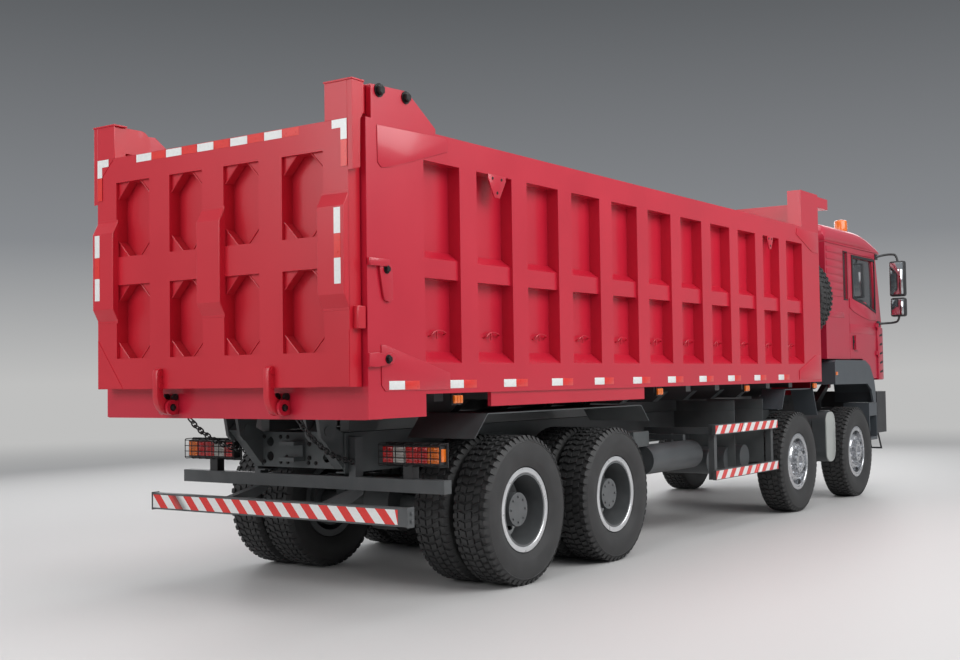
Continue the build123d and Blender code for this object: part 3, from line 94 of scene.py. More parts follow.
reach = tree.nodes.new("ShaderNodeVectorMath")
reach.operation = "LENGTH"
edge_fade = tree.nodes.new("ShaderNodeMapRange")
edge_fade.interpolation_type = "SMOOTHSTEP"
edge_fade.inputs["From Min"].default_value = fade_start
edge_fade.inputs["From Max"].default_value = fade_end
far_grey = tree.nodes.new("ShaderNodeEmission")
far_grey.inputs["Color"].default_value = horizon_grey
blend = tree.nodes.new("ShaderNodeMixShader")
tree.links.new(spot.outputs["Object"], reach.inputs[0])
tree.links.new(reach.outputs["Value"], edge_fade.inputs["Value"])
tree.links.new(edge_fade.outputs["Result"], blend.inputs[0])
tree.links.new(floor_shader.outputs["BSDF"], blend.inputs[1])
tree.links.new(far_grey.outputs["Emission"], blend.inputs[2])
tree.links.new(blend.outputs["Shader"], tree.nodes["Material Output"].inputs["Surface"])
floor_mesh.materials.append(floor_mat)

world = bpy.data.worlds.new("studio")
world.use_nodes = True
sky, sky_links = world.node_tree.nodes, world.node_tree.links
sky["Background"].inputs["Color"].default_value = (0.62, 0.64, 0.67, 1)
sky["Background"].inputs["Strength"].default_value = 0.55
backdrop = sky.new("ShaderNodeBackground")
place = sky.new("ShaderNodeTexCoord")
heights = sky.new("ShaderNodeSeparateXYZ")
fade = sky.new("ShaderNodeValToRGB")
fade.color_ramp.elements[0].position = 0.0
fade.color_ramp.elements[0].color = horizon_grey
fade.color_ramp.elements[1].position = 0.36
fade.color_ramp.elements[1].color = (0.060, 0.065, 0.070, 1)
middle = fade.color_ramp.elements.new(0.11)
middle.color = (0.24, 0.25, 0.265, 1)
sky_links.new(place.outputs["Generated"], heights.inputs["Vector"])
sky_links.new(heights.outputs["Z"], fade.inputs["Fac"])
sky_links.new(fade.outputs["Color"], backdrop.inputs["Color"])
ray = sky.new("ShaderNodeLightPath")
blend = sky.new("ShaderNodeMixShader")
sky_links.new(ray.outputs["Is Camera Ray"], blend.inputs["Fac"])
sky_links.new(sky["Background"].outputs["Background"], blend.inputs[1])
sky_links.new(backdrop.outputs["Background"], blend.inputs[2])
sky_links.new(blend.outputs["Shader"], sky["World Output"].inputs["Surface"])
bpy.context.scene.world = world


def area_lamp(name, place, target, size, power):
    data = bpy.data.lights.new(name, "AREA")
    data.shape = "RECTANGLE"
    data.size, data.size_y = size
    data.energy = power
    lamp = bpy.data.objects.new(name, data)
    lamp.location = place
    lamp.rotation_euler = (Vector(target) - Vector(place)).to_track_quat("-Z", "Y").to_euler()
    bpy.context.scene.collection.objects.link(lamp)


area_lamp("key", (-9, 1, 8), (0, 0, 1.5), (14, 6), 1100)
area_lamp("top", (0, 0, 10), (0, 0, 0), (6, 16), 650)
area_lamp("rear_fill", (2, 14, 6), (0, 5, 2.0), (9, 5), 520)
area_lamp("front_fill", (4, -12, 5), (0, -4, 1.5), (8, 5), 350)
area_lamp("left_fill", (11, 0, 5), (0, 0, 1.5), (12, 5), 350)

# Load bed
# Floor, ribbed side walls and headboard: folded steel sheet, welded up and sprayed crimson.
# Below the floor and along the sills a dark grey is painted in as shade. Corner plates, lugs, tie hooks and
# latch gear are welded on.


def surface(name, color, rough=0.5, metal=0.0, coat=0.0, drift=0.12, scale=3.0, bump=0.05, grain=60.0,
            dust=0.0, dust_top=1.6, dust_color=(0.30, 0.28, 0.25), spread=0.12):
    mat = bpy.data.materials.new(name)
    mat.use_nodes = True
    nodes, links = mat.node_tree.nodes, mat.node_tree.links
    shader = nodes["Principled BSDF"]
    shader.inputs["Metallic"].default_value = metal
    shader.inputs["Coat Weight"].default_value = coat
    shader.inputs["Coat Roughness"].default_value = 0.12
    place = nodes.new("ShaderNodeTexCoord")
    cloud = nodes.new("ShaderNodeTexNoise")
    cloud.inputs["Scale"].default_value = scale
    cloud.inputs["Detail"].default_value = 6
    links.new(place.outputs["Object"], cloud.inputs["Vector"])
    tone = nodes.new("ShaderNodeValToRGB")
    tone.color_ramp.elements[0].position = 0.3
    tone.color_ramp.elements[1].position = 0.7
    tone.color_ramp.elements[0].color = (*[c * (1 - drift) for c in color], 1)
    tone.color_ramp.elements[1].color = (*[min(1, c * (1 + drift)) for c in color], 1)
    links.new(cloud.outputs["Fac"], tone.inputs["Fac"])
    last = tone.outputs["Color"]
    if dust:
        parts = nodes.new("ShaderNodeSeparateXYZ")
        links.new(place.outputs["Object"], parts.inputs["Vector"])
        fall = nodes.new("ShaderNodeMapRange")
        fall.inputs["From Min"].default_value = dust_top
        fall.inputs["From Max"].default_value = 0.1
        fall.inputs["To Max"].default_value = dust
        links.new(parts.outputs["Z"], fall.inputs["Value"])
        patch = nodes.new("ShaderNodeMath")
        patch.operation = "MULTIPLY"
        links.new(fall.outputs["Result"], patch.inputs[0])
        links.new(cloud.outputs["Fac"], patch.inputs[1])
        mix = nodes.new("ShaderNodeMix")
        mix.data_type = "RGBA"
        links.new(patch.outputs["Value"], mix.inputs[0])
        links.new(last, mix.inputs[6])
        mix.inputs[7].default_value = (*dust_color, 1)
        last = mix.outputs[2]
    links.new(last, shader.inputs["Base Color"])
    fine = nodes.new("ShaderNodeTexNoise")
    fine.inputs["Scale"].default_value = grain
    fine.inputs["Detail"].default_value = 3
    links.new(place.outputs["Object"], fine.inputs["Vector"])
    sheen = nodes.new("ShaderNodeMapRange")
    sheen.inputs["To Min"].default_value = max(0.02, rough - spread)
    sheen.inputs["To Max"].default_value = min(1, rough + spread)
    links.new(cloud.outputs["Fac"], sheen.inputs["Value"])
    links.new(sheen.outputs["Result"], shader.inputs["Roughness"])
    relief = nodes.new("ShaderNodeBump")
    relief.inputs["Strength"].default_value = bump
    relief.inputs["Distance"].default_value = 0.002
    links.new(fine.outputs["Fac"], relief.inputs["Height"])
    links.new(relief.outputs["Normal"], shader.inputs["Normal"])
    return mat


def dress(material, *names):
    for name in names:
        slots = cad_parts[name].data.materials
        if len(slots):
            for index in range(len(slots)):
                slots[index] = material
        else:
            slots.append(material)


def round_edges(width, *names):
    for name in names:
        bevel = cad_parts[name].modifiers.new("rolled_edges", "BEVEL")
        bevel.width = width
        bevel.segments = 2
        bevel.limit_method = "ANGLE"
        bevel.angle_limit = math.radians(40)
        bevel.use_clamp_overlap = True
        bevel.harden_normals = True


def at(right, forward, up):
    """A place measured from the rearmost axle: to the truck's right, forward and up."""
    return Vector((-right, 3.5 - forward, up))


def add_block(work, across, along, up, edge=0.0, slot=0):
    corners = [work.verts.new(at(x, y, z)) for x in across for y in along for z in up]
    quads = ((0, 1, 3, 2), (4, 6, 7, 5), (0, 4, 5, 1), (2, 3, 7, 6), (0, 2, 6, 4), (1, 5, 7, 3))
    faces = [work.faces.new([corners[i] for i in quad]) for quad in quads]
    for face in faces:
        face.material_index = slot
    if edge:
        edges = list({e for face in faces for e in face.edges})
        bmesh.ops.bevel(work, geom=edges, offset=edge, segments=2, profile=0.5, affect="EDGES", material=slot)


def add_prism(work, rings):
    """Faces between and over two outlines of the same length; gives back the two flat ends."""
    ends = [work.faces.new(rings[0]), work.faces.new(rings[1][::-1])]
    for i in range(len(rings[0])):
        j = (i + 1) % len(rings[0])
        work.faces.new([rings[0][j], rings[0][i], rings[1][i], rings[1][j]])
    return ends


def add_plate(work, outline, across, edge=0.0):
    """A flat plate with its outline in forward and up, from one side place to another."""
    ends = add_prism(work, [[work.verts.new(at(x, y, z)) for y, z in outline] for x in across])
    if edge:
        edges = list({e for face in ends for e in face.edges})
        bmesh.ops.bevel(work, geom=edges, offset=edge, segments=2, profile=0.5, affect="EDGES", material=0)


def add_rod(work, start, end, radius, sides=16, tip=None, slot=0):
    axis = end - start
    place = Matrix.Translation((start + end) / 2) @ axis.to_track_quat("Z", "Y").to_matrix().to_4x4()
    made = bmesh.ops.create_cone(
        work, cap_ends=True, segments=sides, radius1=radius, radius2=radius if tip is None else tip,
        depth=axis.length, matrix=place
    )
    for face in {face for vert in made["verts"] for face in vert.link_faces}:
        face.material_index = slot


def add_bolt(work, place, out, size):
    """A washer, a hexagon head and its chamfered top, standing out from a place."""
    out = Vector(out)
    add_rod(work, place, place + out * size * 0.2, size * 1.3, 20)
    add_rod(work, place + out * size * 0.2, place + out * size * 0.8, size, 6)
    add_rod(work, place + out * size * 0.8, place + out * size, size * 0.98, 6, tip=size * 0.75)


def fit(name, work, body, finish, *materials, smooth=35):
    bmesh.ops.recalc_face_normals(work, faces=work.faces)
    mesh = bpy.data.meshes.new(name)
    work.to_mesh(mesh)
    work.free()
    mesh.shade_smooth()
    mesh.set_sharp_from_angle(angle=math.radians(smooth))
    for material in materials:
        mesh.materials.append(material)
    piece = bpy.data.objects.new(name, mesh)
    bpy.context.scene.collection.objects.link(piece)
    if body:
        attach(piece, body)
    return piece


def bent_rods(name, routes, radius, body, material):
    data = bpy.data.curves.new(name, "CURVE")
    data.dimensions = "3D"
    data.bevel_depth = radius
    data.bevel_resolution = 2
    data.resolution_u = 4
    data.use_fill_caps = True
    for route in routes:
        line = data.splines.new("NURBS")
        line.points.add(len(route) - 1)
        for point, place in zip(line.points, route):
            point.co = (*place, 1)
        line.order_u = 3
        line.use_endpoint_u = True
    data.materials.append(material)
    piece = bpy.data.objects.new(name, data)
    bpy.context.scene.collection.objects.link(piece)
    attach(piece, body)
    return piece


bed_red = surface("crimson_bed_paint", (0.50, 0.009, 0.030), rough=0.34, coat=0.3, drift=0.05, scale=1.3,
                  bump=0.03, grain=240, dust=0.05, dust_top=1.9, dust_color=(0.36, 0.14, 0.15))
dark_steel_and_hole_shade = surface("oiled_dark_steel_and_hole_shade", (0.022, 0.021, 0.021), rough=0.42, metal=0.6, drift=0.25, scale=60,
                     bump=0.2, grain=200)
white_film = surface("white_reflector_film", (0.74, 0.75, 0.74), rough=0.32, coat=0.4, drift=0.04, scale=60,
                     bump=0.15, grain=900)
red_film = surface("red_reflector_film", (0.66, 0.02, 0.015), rough=0.32, coat=0.4, drift=0.06, scale=60,
                   bump=0.15, grain=900)
amber_lens = surface("amber_lens", (0.72, 0.15, 0.008), rough=0.16, coat=0.6, drift=0.1, scale=50, bump=0.2,
                     grain=200)
floor_red = surface("crimson_floor_paint", (0.47, 0.009, 0.030), rough=0.36, coat=0.25, drift=0.06, scale=1.3,
                    bump=0.04, grain=240)
# Painted shade: the floor paint turns dark grey below the floor's underside and below the sills' height.
underside_painted_shade = (0.055, 0.060, 0.062, 1)
floor_underside, sill_underside, rear_reach = 1.4495, 1.2475, 5.092
under = floor_red.node_tree
place = under.nodes.new("ShaderNodeTexCoord")
parts = under.nodes.new("ShaderNodeSeparateXYZ")
under.links.new(place.outputs["Object"], parts.inputs["Vector"])
tests = []
for axis, limit in (("Z", floor_underside), ("Y", rear_reach), ("Z", sill_underside)):
    test = under.nodes.new("ShaderNodeMath")
    test.operation = "LESS_THAN"
    test.inputs[1].default_value = limit
    under.links.new(parts.outputs[axis], test.inputs[0])
    tests.append(test)
below = under.nodes.new("ShaderNodeMath")
below.operation = "MULTIPLY"
under.links.new(tests[0].outputs["Value"], below.inputs[0])
under.links.new(tests[1].outputs["Value"], below.inputs[1])
either = under.nodes.new("ShaderNodeMath")
either.operation = "MAXIMUM"
under.links.new(below.outputs["Value"], either.inputs[0])
under.links.new(tests[2].outputs["Value"], either.inputs[1])
underside_shade_mix = under.nodes.new("ShaderNodeMix")
underside_shade_mix.data_type = "RGBA"
shader_input = under.nodes["Principled BSDF"].inputs["Base Color"]
under.links.new(either.outputs["Value"], underside_shade_mix.inputs[0])
under.links.new(shader_input.links[0].from_socket, underside_shade_mix.inputs[6])
underside_shade_mix.inputs[7].default_value = underside_painted_shade
under.links.new(underside_shade_mix.outputs[2], shader_input)
dress(bed_red, "bed_sides", "headboard")
dress(floor_red, "bed_floor")
round_edges(0.006, "bed_sides", "headboard")
bed_face = 1.235
corner_plates = (
    ((-1.64, 3.085), (-0.93, 3.105), (-0.905, 3.09), (-0.905, 3.015), (-1.50, 2.838), (-1.60, 2.822),
     (-1.635, 2.85)),
    ((-1.62, 1.712), (-1.575, 1.712), (-0.905, 1.535), (-0.905, 1.425), (-1.585, 1.425), (-1.62, 1.46)),
    ((6.17, 3.09), (5.52, 3.09), (5.50, 3.02), (5.98, 2.86), (6.17, 2.86)),
    ((6.17, 1.43), (5.50, 1.43), (5.50, 1.53), (6.02, 1.70), (6.17, 1.70)),
)
plate_thickness = 0.006
lug_top, lug_hole_z, lug_shoulder = 2.932, 2.905, 2.90
lug_tip_top = 2.93
lift_lugs = ((-0.323, 0.112, 0.159), (4.735, 0.075, 0.133))
pin_rows = (
    (-1.614, 3.307, 1.235, 0.034), (-1.345, 3.307, 1.235, 0.032), (-1.575, 2.185, 1.252, 0.022),
    (-1.577, 1.623, 1.260, 0.022),
)
work = bmesh.new()
for side in (1, -1):
    face, proud = side * bed_face, side * (bed_face + plate_thickness)
    for outline in corner_plates:
        add_plate(work, outline, (face, proud), edge=0.002)
    for y, half, drop in lift_lugs:
        tip, tip_half = lug_tip_top - drop, half * 0.3
        lug = ((y - half, lug_top), (y + half, lug_top), (y + half, lug_shoulder), (y + tip_half, tip),
               (y - tip_half, tip), (y - half, lug_shoulder))
        add_plate(work, lug, (face, side * 1.245), edge=0.002)
    add_plate(work, ((-1.625, 2.225), (-1.64, 2.20), (-1.635, 2.16), (-1.605, 2.02), (-1.590, 1.992),
                     (-1.550, 1.980), (-1.515, 1.995), (-1.510, 2.03), (-1.515, 2.19), (-1.54, 2.225)),
              (face, side * 1.252), edge=0.003)
    add_block(work, (face - side * 0.01, side * 1.262), (-1.744, -1.551), (2.200, 2.249), edge=0.006)
    add_plate(work, ((-1.752, 1.575), (-1.752, 1.66), (-1.66, 1.665), (-1.60, 1.65), (-1.53, 1.66),
                     (-1.50, 1.64), (-1.52, 1.60), (-1.60, 1.585), (-1.68, 1.575)),
              (face, side * 1.260), edge=0.003)
fit("bed_corner_plates", work, "bed", "red_body_paint", bed_red)

work = bmesh.new()
for side in (1, -1):
    out = (-side, 0, 0)
    for y, z, x, size in pin_rows:
        add_bolt(work, at(side * x, y, z), out, size)
    # The lugs' holes are dark steel discs on the lug face: painted shade for the openings.
    for y, half, drop in lift_lugs:
        hole_shade_discs = ((y - half / 2, lug_hole_z), (y + half / 2, lug_hole_z), (y, lug_tip_top - drop + 0.035))
        for hole_y, hole_z in hole_shade_discs:
            add_rod(work, at(side * 1.2445, hole_y, hole_z), at(side * 1.2465, hole_y, hole_z), 0.011)
fit("bed_pins_and_lug_hole_shade", work, "bed", "bare_steel", dark_steel_and_hole_shade)

hooks = []
first_hook, hook_pitch = -1.006, 0.64
for side in (1, -1):
    for bay in range(11):
        y = first_hook + hook_pitch * bay
        hooks.append([at(side * x, y + s, z) for x, s, z in (
            (1.134, 0.0, 1.782), (1.160, 0.004, 1.786), (1.163, 0.03, 1.812), (1.163, 0.07, 1.822),
            (1.163, 0.11, 1.820), (1.163, 0.15, 1.812), (1.160, 0.17, 1.80), (1.134, 0.172, 1.798))])
        hooks.append([at(side * 1.160, y + 0.062, 1.82), at(side * 1.166, y + 0.058, 1.79),
                      at(side * 1.160, y + 0.062, 1.765)])
bent_rods("tie_hooks", hooks, 0.006, "bed", bed_red)

film_count, first_film, film_pitch = 12, -1.55, 0.645
film_up = (1.432, 1.487)
work = bmesh.new()
for side in (1, -1):
    for index in range(film_count):
        y = first_film + film_pitch * index
        x = bed_face + (0.0062 if index == 0 else 0.0002)
        span = (side * x, side * (x + 0.0012))
        add_block(work, span, (y, y + 0.157), film_up, edge=0.0004, slot=0)
        if index < film_count - 1:
            add_block(work, span, (y + 0.159, y + 0.310), film_up, edge=0.0004, slot=1)
fit("side_reflector_film", work, "bed", "lamp_lens", white_film, red_film)

work = bmesh.new()
for side in (1, -1):
    base, lens = (side * 1.196, side * 1.214), (side * 1.214, side * 1.232)
    for y in (-0.80, 2.185, 4.093, 6.0):
        add_block(work, base, (y - 0.055, y + 0.055), (1.318, 1.400), edge=0.003, slot=1)
        for step in range(3):
            low = y - 0.048 + 0.033 * step
            add_block(work, lens, (low, low + 0.030), (1.330, 1.384), edge=0.004, slot=0)
fit("side_marker_lamps", work, "bed", "lamp_lens", amber_lens, dark_steel_and_hole_shade)

# Tailgate
# A deep welded frame with eight wells whose corners are closed by set-back gussets.
# Posts with side plates carry it from the pins, and three rub pads stand off its face.


def add_upright_plate(work, outline, along):
    """A flat plate with its outline in right and up, from one forward place to another."""
    add_prism(work, [[work.verts.new(at(x, y, z)) for x, z in outline] for y in along])


gate_red = surface("crimson_gate_paint", (0.50, 0.007, 0.021), rough=0.38, coat=0.15, drift=0.05, scale=1.3,
                   bump=0.03, grain=240)
dress(gate_red, "tailgate")
round_edges(0.005, "tailgate")
well_columns = ((-0.985, -0.6325), (-0.4275, -0.1025), (0.1025, 0.4275), (0.6325, 0.985))
well_rows = ((1.670, 2.190), (2.390, 2.920))
well_corner = 0.115
weld_lap = 0.002
pad_half = 0.11
work = bmesh.new()
for x0, x1 in well_columns:
    for z0, z1 in well_rows:
        for x, dx in ((x0, 1), (x1, -1)):
            for z, dz in ((z0, 1), (z1, -1)):
                triangle = ((x - dx * weld_lap, z - dz * weld_lap), (x + dx * well_corner, z - dz * weld_lap),
                            (x - dx * weld_lap, z + dz * well_corner))
                add_upright_plate(work, triangle, (-1.836, -1.766))
                lip = [(x + dx * well_corner, z), (x, z + dz * well_corner)]
                start, end = (at(a, -1.838, b) for a, b in lip)
                add_rod(work, start, end, 0.005, 8)
for side in (1, -1):
    add_plate(work, ((-1.862, 2.78), (-1.862, 3.335), (-1.752, 3.335), (-1.752, 3.15), (-1.79, 3.10),
                     (-1.79, 2.80)), (side * 1.189, side * 1.230), edge=0.003)
    add_block(work, (side * 1.003, side * 1.190), (-1.862, -1.853), (3.098, 3.335), edge=0.003)
    add_block(work, (side * 0.998, side * 1.235), (-1.868, -1.750), (3.333, 3.345), edge=0.003)
    add_block(work, (side * 1.186, side * 1.230), (-1.825, -1.752), (1.810, 1.950), edge=0.006)
for x in (-1.08, 0, 1.08):
    pad = (x - pad_half, x + pad_half)
    add_plate(work, ((-1.855, 1.925), (-1.907, 2.02), (-1.907, 2.56), (-1.855, 2.655)), pad, edge=0.006)
    add_block(work, pad, (-1.862, -1.856), (1.922, 2.658), edge=0.002)
for side in (1, -1):
    for low, high, out in ((1.458, 1.80, 0.92), (3.09, 2.93, 1.02)):
        flat = ((side * 1.187, high), (side * 1.187, low), (side * out, low))
        add_upright_plate(work, flat, (-1.8635, -1.859))
fit("gate_gussets_and_pads", work, "tailgate", "red_body_paint", gate_red, smooth=20)

work = bmesh.new()
corner_film_y, rail_film_y, pad_film_y = (-1.8650, -1.8636), (-1.8615, -1.8598), (-1.9085, -1.9068)
rail_film_z = (3.043, 3.096)
for x in (-0.688, -0.379, -0.067, 0.25, 0.56):
    add_block(work, (x - 0.078, x + 0.078), rail_film_y, rail_film_z, slot=0)
    add_block(work, (x + 0.080, x + 0.226), rail_film_y, rail_film_z, slot=1)
for side in (1, -1):
    inner, middle, outer = side * 1.065, side * 1.136, side * 1.186
    add_block(work, (inner, outer), corner_film_y, (3.045, 3.098), slot=0)
    add_block(work, (middle, outer), corner_film_y, (2.971, 3.045), slot=0)
    add_block(work, (middle, outer), corner_film_y, (2.805, 2.968), slot=1)
    for low, high, tint in ((2.391, 2.55, 0), (2.243, 2.389, 1), (2.083, 2.241, 0)):
        add_block(work, (side * 1.112, side * 1.164), pad_film_y, (low, high), slot=tint)
fit("gate_reflector_film", work, "tailgate", "lamp_lens", white_film, red_film)

# Tailgate hooks and their clevis pins
# Two flame-cut hooks hang on the gate's foot and close round pins on the rear sill.
# Each is one thick plate with an open jaw that faces forward.
hook_outline = (
    (-1.858, 1.592), (-1.880, 1.594), (-1.900, 1.582), (-1.909, 1.560), (-1.909, 1.400), (-1.900, 1.352),
    (-1.876, 1.312), (-1.845, 1.287), (-1.806, 1.277), (-1.775, 1.283), (-1.755, 1.302), (-1.752, 1.312),
    (-1.790, 1.306), (-1.806, 1.309), (-1.816, 1.326), (-1.806, 1.343), (-1.790, 1.346), (-1.752, 1.345),
    (-1.758, 1.362), (-1.785, 1.376), (-1.830, 1.378), (-1.855, 1.400), (-1.862, 1.440),
)
hook_sides = (-0.527, 0.527)
clevis_y, clevis_z = -1.796, 1.326
ear_inner, ear_outer = 0.030, 0.0535
work = bmesh.new()
for x in hook_sides:
    add_plate(work, hook_outline, (x - 0.024, x + 0.024), edge=0.004)
    for z in (1.560, 1.470):
        add_rod(work, at(x - 0.030, -1.872, z), at(x + 0.030, -1.872, z), 0.022)
hook_piece = fit("flame_cut_hooks", work, "tailgate", "red_body_paint", gate_red, smooth=25)
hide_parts("tailgate_hooks")
work = bmesh.new()
for x in hook_sides:
    for out in (1, -1):
        start, end = (at(x + out * reach, clevis_y, clevis_z) for reach in (ear_inner, ear_outer))
        add_rod(work, start, end, 0.052, 32)
fit("clevis_ears", work, "bed", "red_body_paint", bed_red)
work = bmesh.new()
for x in hook_sides:
    for out in (1, -1):
        add_bolt(work, at(x + out * ear_outer, clevis_y, clevis_z), (-out, 0, 0), 0.019)
        add_rod(work, at(x + out * 0.053, -1.770, 1.396), at(x + out * ear_inner, -1.770, 1.396), 0.024)
fit("clevis_nuts", work, "bed", "bare_steel", dark_steel_and_hole_shade)

# Safety chains
# Two welded chains of round steel links run from the floor's rear bearer to the lamp bar.
# Each is built once in its resting shape and is attached to neither the bed nor the chassis.
chain_steel = surface("chain_steel", (0.045, 0.045, 0.046), rough=0.38, metal=0.75, drift=0.2, scale=40,
                      bump=0.2, grain=200)
link_pitch, link_length, link_width, link_wire = 0.040, 0.056, 0.034, 0.0055
chain_rows = (
    ((0.550, -1.640, 1.246), (0.543, -1.560, 1.160), (0.520, -1.330, 1.010), (0.480, -1.120, 0.945),
     (0.475, -1.012, 0.930)),
    ((-0.450, -1.668, 1.246), (-0.456, -1.590, 1.165), (-0.470, -1.350, 1.045), (-0.474, -1.120, 0.992),
     (-0.475, -1.012, 0.985)),
)


def link_ring(work, place, along, flat, length, width, wire):
    """One long link: two straight legs and two round ends swept by a round wire."""
    across = along.cross(flat).normalized()
    leg, radius, path = (length - width) / 2, width / 2, []
    for end in (1, -1):
        for step in range(7):
            a = math.pi * (step / 6 - 0.5)
            path.append((end * (leg + radius * math.cos(a)), end * radius * math.sin(a)))
    rings = []
    for i, (u, v) in enumerate(path):
        before, after = path[i - 1], path[(i + 1) % len(path)]
        way = (along * (after[0] - before[0]) + across * (after[1] - before[1])).normalized()
        side = way.cross(flat).normalized()
        centre = place + along * u + across * v
        rings.append([work.verts.new(centre + side * wire * math.cos(t) + flat * wire * math.sin(t))
                      for t in (2 * math.pi * k / 8 for k in range(8))])
    for i in range(len(rings)):
        a, b = rings[i - 1], rings[i]
        for k in range(8):
            work.faces.new([a[k], a[(k + 1) % 8], b[(k + 1) % 8], b[k]])


for name, row in zip(("chain_right", "chain_left"), chain_rows):
    guide = bpy.data.curves.new(name + "_route", "CURVE")
    guide.dimensions = "3D"
    guide.resolution_u = 24
    line = guide.splines.new("NURBS")
    line.points.add(len(row) - 1)
    for point, spot in zip(line.points, row):
        point.co = (*at(*spot), 1)
    line.order_u = 3
    line.use_endpoint_u = True
    holder = bpy.data.objects.new(name + "_route", guide)
    route = [v.co.copy() for v in bpy.data.meshes.new_from_object(holder).vertices]
    bpy.data.objects.remove(holder)
    marks, run = [0.0], 0.0
    for a, b in zip(route, route[1:]):
        run += (b - a).length
        marks.append(run)
    links = round(run / link_pitch)
    work = bmesh.new()
    for index in range(links):
        goal = run * (index + 0.5) / links
        k = next(i for i in range(len(marks) - 1) if marks[i + 1] >= goal)
        share = (goal - marks[k]) / (marks[k + 1] - marks[k])
        place = route[k].lerp(route[k + 1], share)
        along = (route[k + 1] - route[k]).normalized()
        flat = along.cross(Vector((0, 0, 1))).normalized()
        flat = (flat if index % 2 else along.cross(flat)).normalized()
        link_ring(work, place, along, flat, link_length, link_width, link_wire)
    chain = fit(name, work, None, "bare_steel", chain_steel, smooth=60)
    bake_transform(chain)
    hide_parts("chains")

# Chassis
# Pressed rails and cross members, springs, axles and shafts in dark grey chassis paint.
# The rear end plate carries a towing jaw between two rows of bolts.
chassis_grey = surface("chassis_grey", (0.060, 0.068, 0.070), rough=0.52, drift=0.2, scale=5, bump=0.12,
                       grain=180, dust=0.45, dust_top=1.2, dust_color=(0.14, 0.14, 0.135))
dress(chassis_grey, "frame_rails", "crossmembers", "mounting_brackets", "bed_mudguards", "front_axles",
      "drive_axles", "driveline", "leaf_springs",
      *[f"knuckle_{a}_{s}" for a in "12" for s in ("right", "left")])
end_plate_face, rearward = -1.064, (0, 1, 0)
work = bmesh.new()
for x in (-0.39, -0.33, -0.17, -0.10, 0.10, 0.17, 0.33, 0.39):
    for z in (0.915, 1.095):
        add_bolt(work, at(x, end_plate_face, z), rearward, 0.012)
for x in (-0.11, 0.11):
    for z in (0.95, 1.05):
        add_bolt(work, at(x, end_plate_face, z), rearward, 0.014)
fit("end_plate_bolts", work, "chassis", "dark_chassis_paint", dark_steel_and_hole_shade)

# Hoist
# A front telescopic cylinder: bright steel stages slide out of a painted cover tube.
# Its foot turns on a pin in a chassis bracket, and the cover's pins lie in the headboard's saddles.
stage_steel = surface("hoist_stage_steel", (0.30, 0.31, 0.33), rough=0.28, metal=0.9, drift=0.1, scale=5,
                      bump=0.05, grain=120)
cover_grey = surface("hoist_cover_paint", (0.060, 0.068, 0.070), rough=0.45, drift=0.12, scale=6, bump=0.1,
                     grain=180)
dress(stage_steel, "hoist_foot", "hoist_stage_2", "hoist_stage_3", "hoist_stage_4")
dress(cover_grey, "hoist_cover")

# Rear bumper and lamp bar
# Two square steel beams on the frame's stays, painted dark grey.
# The lower one has red and white striped film between its grey end caps.
bar_grey = surface("bumper_bar_grey", (0.066, 0.071, 0.074), rough=0.46, drift=0.14, scale=6, bump=0.1,
                   grain=200, dust=0.35, dust_top=1.0, dust_color=(0.15, 0.15, 0.145))
dress(bar_grey, "rear_underrun")
round_edges(0.005, "rear_underrun")


def striped_film(work, point, length, height, pitch, lean):
    """Slanting stripes, every other one red; point(s, h, d) lies s along, h up and d out of the film."""
    count = int(length / pitch) + 2
    for index in range(-2, count):
        s = index * pitch
        corners = [(s, 0), (s + pitch, 0), (s + pitch + lean, height), (s + lean, height)]
        cut = [(min(max(a, 0.0), length), b) for a, b in corners]
        if cut[1][0] - cut[0][0] + cut[2][0] - cut[3][0] < 1e-4:
            continue
        low = [work.verts.new(point(a, b, 0.0)) for a, b in cut]
        top = [work.verts.new(point(a, b, 0.0012)) for a, b in cut]
        faces = [work.faces.new(low[::-1]), work.faces.new(top)]
        for i in range(4):
            j = (i + 1) % 4
            faces.append(work.faces.new([low[i], low[j], top[j], top[i]]))
        for face in faces:
            face.material_index = index % 2
    bmesh.ops.remove_doubles(work, verts=work.verts, dist=1e-6)


work = bmesh.new()
striped_film(work, lambda s, h, d: at(-1.208 + s, -1.3525 - d, 0.567 + h), 2.345, 0.096, 0.083, -0.085)
fit("underrun_film", work, "chassis", "lamp_lens", white_film, red_film)
work = bmesh.new()
for side in (1, -1):
    add_block(work, (side * 1.212, side * 1.222), (-1.358, -1.286), (0.549, 0.681), edge=0.004)
    for z in (0.59, 0.64):
        add_bolt(work, at(side * 1.222, -1.322, z), (-side, 0, 0), 0.011)
fit("underrun_end_caps", work, "chassis", "dark_chassis_paint", bar_grey)

# Tail lamps
# Moulded lamp bodies with red, clear and amber lenses, each behind a cage of thin black wires.
lamp_black = surface("lamp_body_black", (0.018, 0.018, 0.019), rough=0.4, drift=0.15, scale=20, bump=0.15,
                     grain=300)
lens_red = surface("red_lens", (0.50, 0.012, 0.012), rough=0.14, coat=0.6, drift=0.12, scale=30, bump=0.3,
                   grain=120)
lens_clear = surface("clear_lens", (0.42, 0.40, 0.37), rough=0.12, coat=0.6, drift=0.15, scale=40, bump=0.3,
                     grain=120)
dress(lamp_black, "lamps")
lens_row = ((0.730, 0.815, 0), (0.819, 0.925, 1), (0.929, 1.030, 0), (1.034, 1.110, 0), (1.114, 1.205, 2))
work = bmesh.new()
for side in (1, -1):
    for x0, x1, tint in lens_row:
        add_block(work, (side * x0, side * x1), (-1.004, -0.990), (0.934, 1.041), edge=0.004, slot=tint)
        for ridge in range(5):
            z = 0.948 + 0.019 * ridge
            start, end = at(side * (x0 + 0.006), -1.0035, z), at(side * (x1 - 0.006), -1.0035, z)
            add_rod(work, start, end, 0.0035, 8, slot=tint)
    add_block(work, (side * 1.213, side * 1.219), (-0.988, -0.935), (0.945, 1.030), edge=0.002, slot=2)
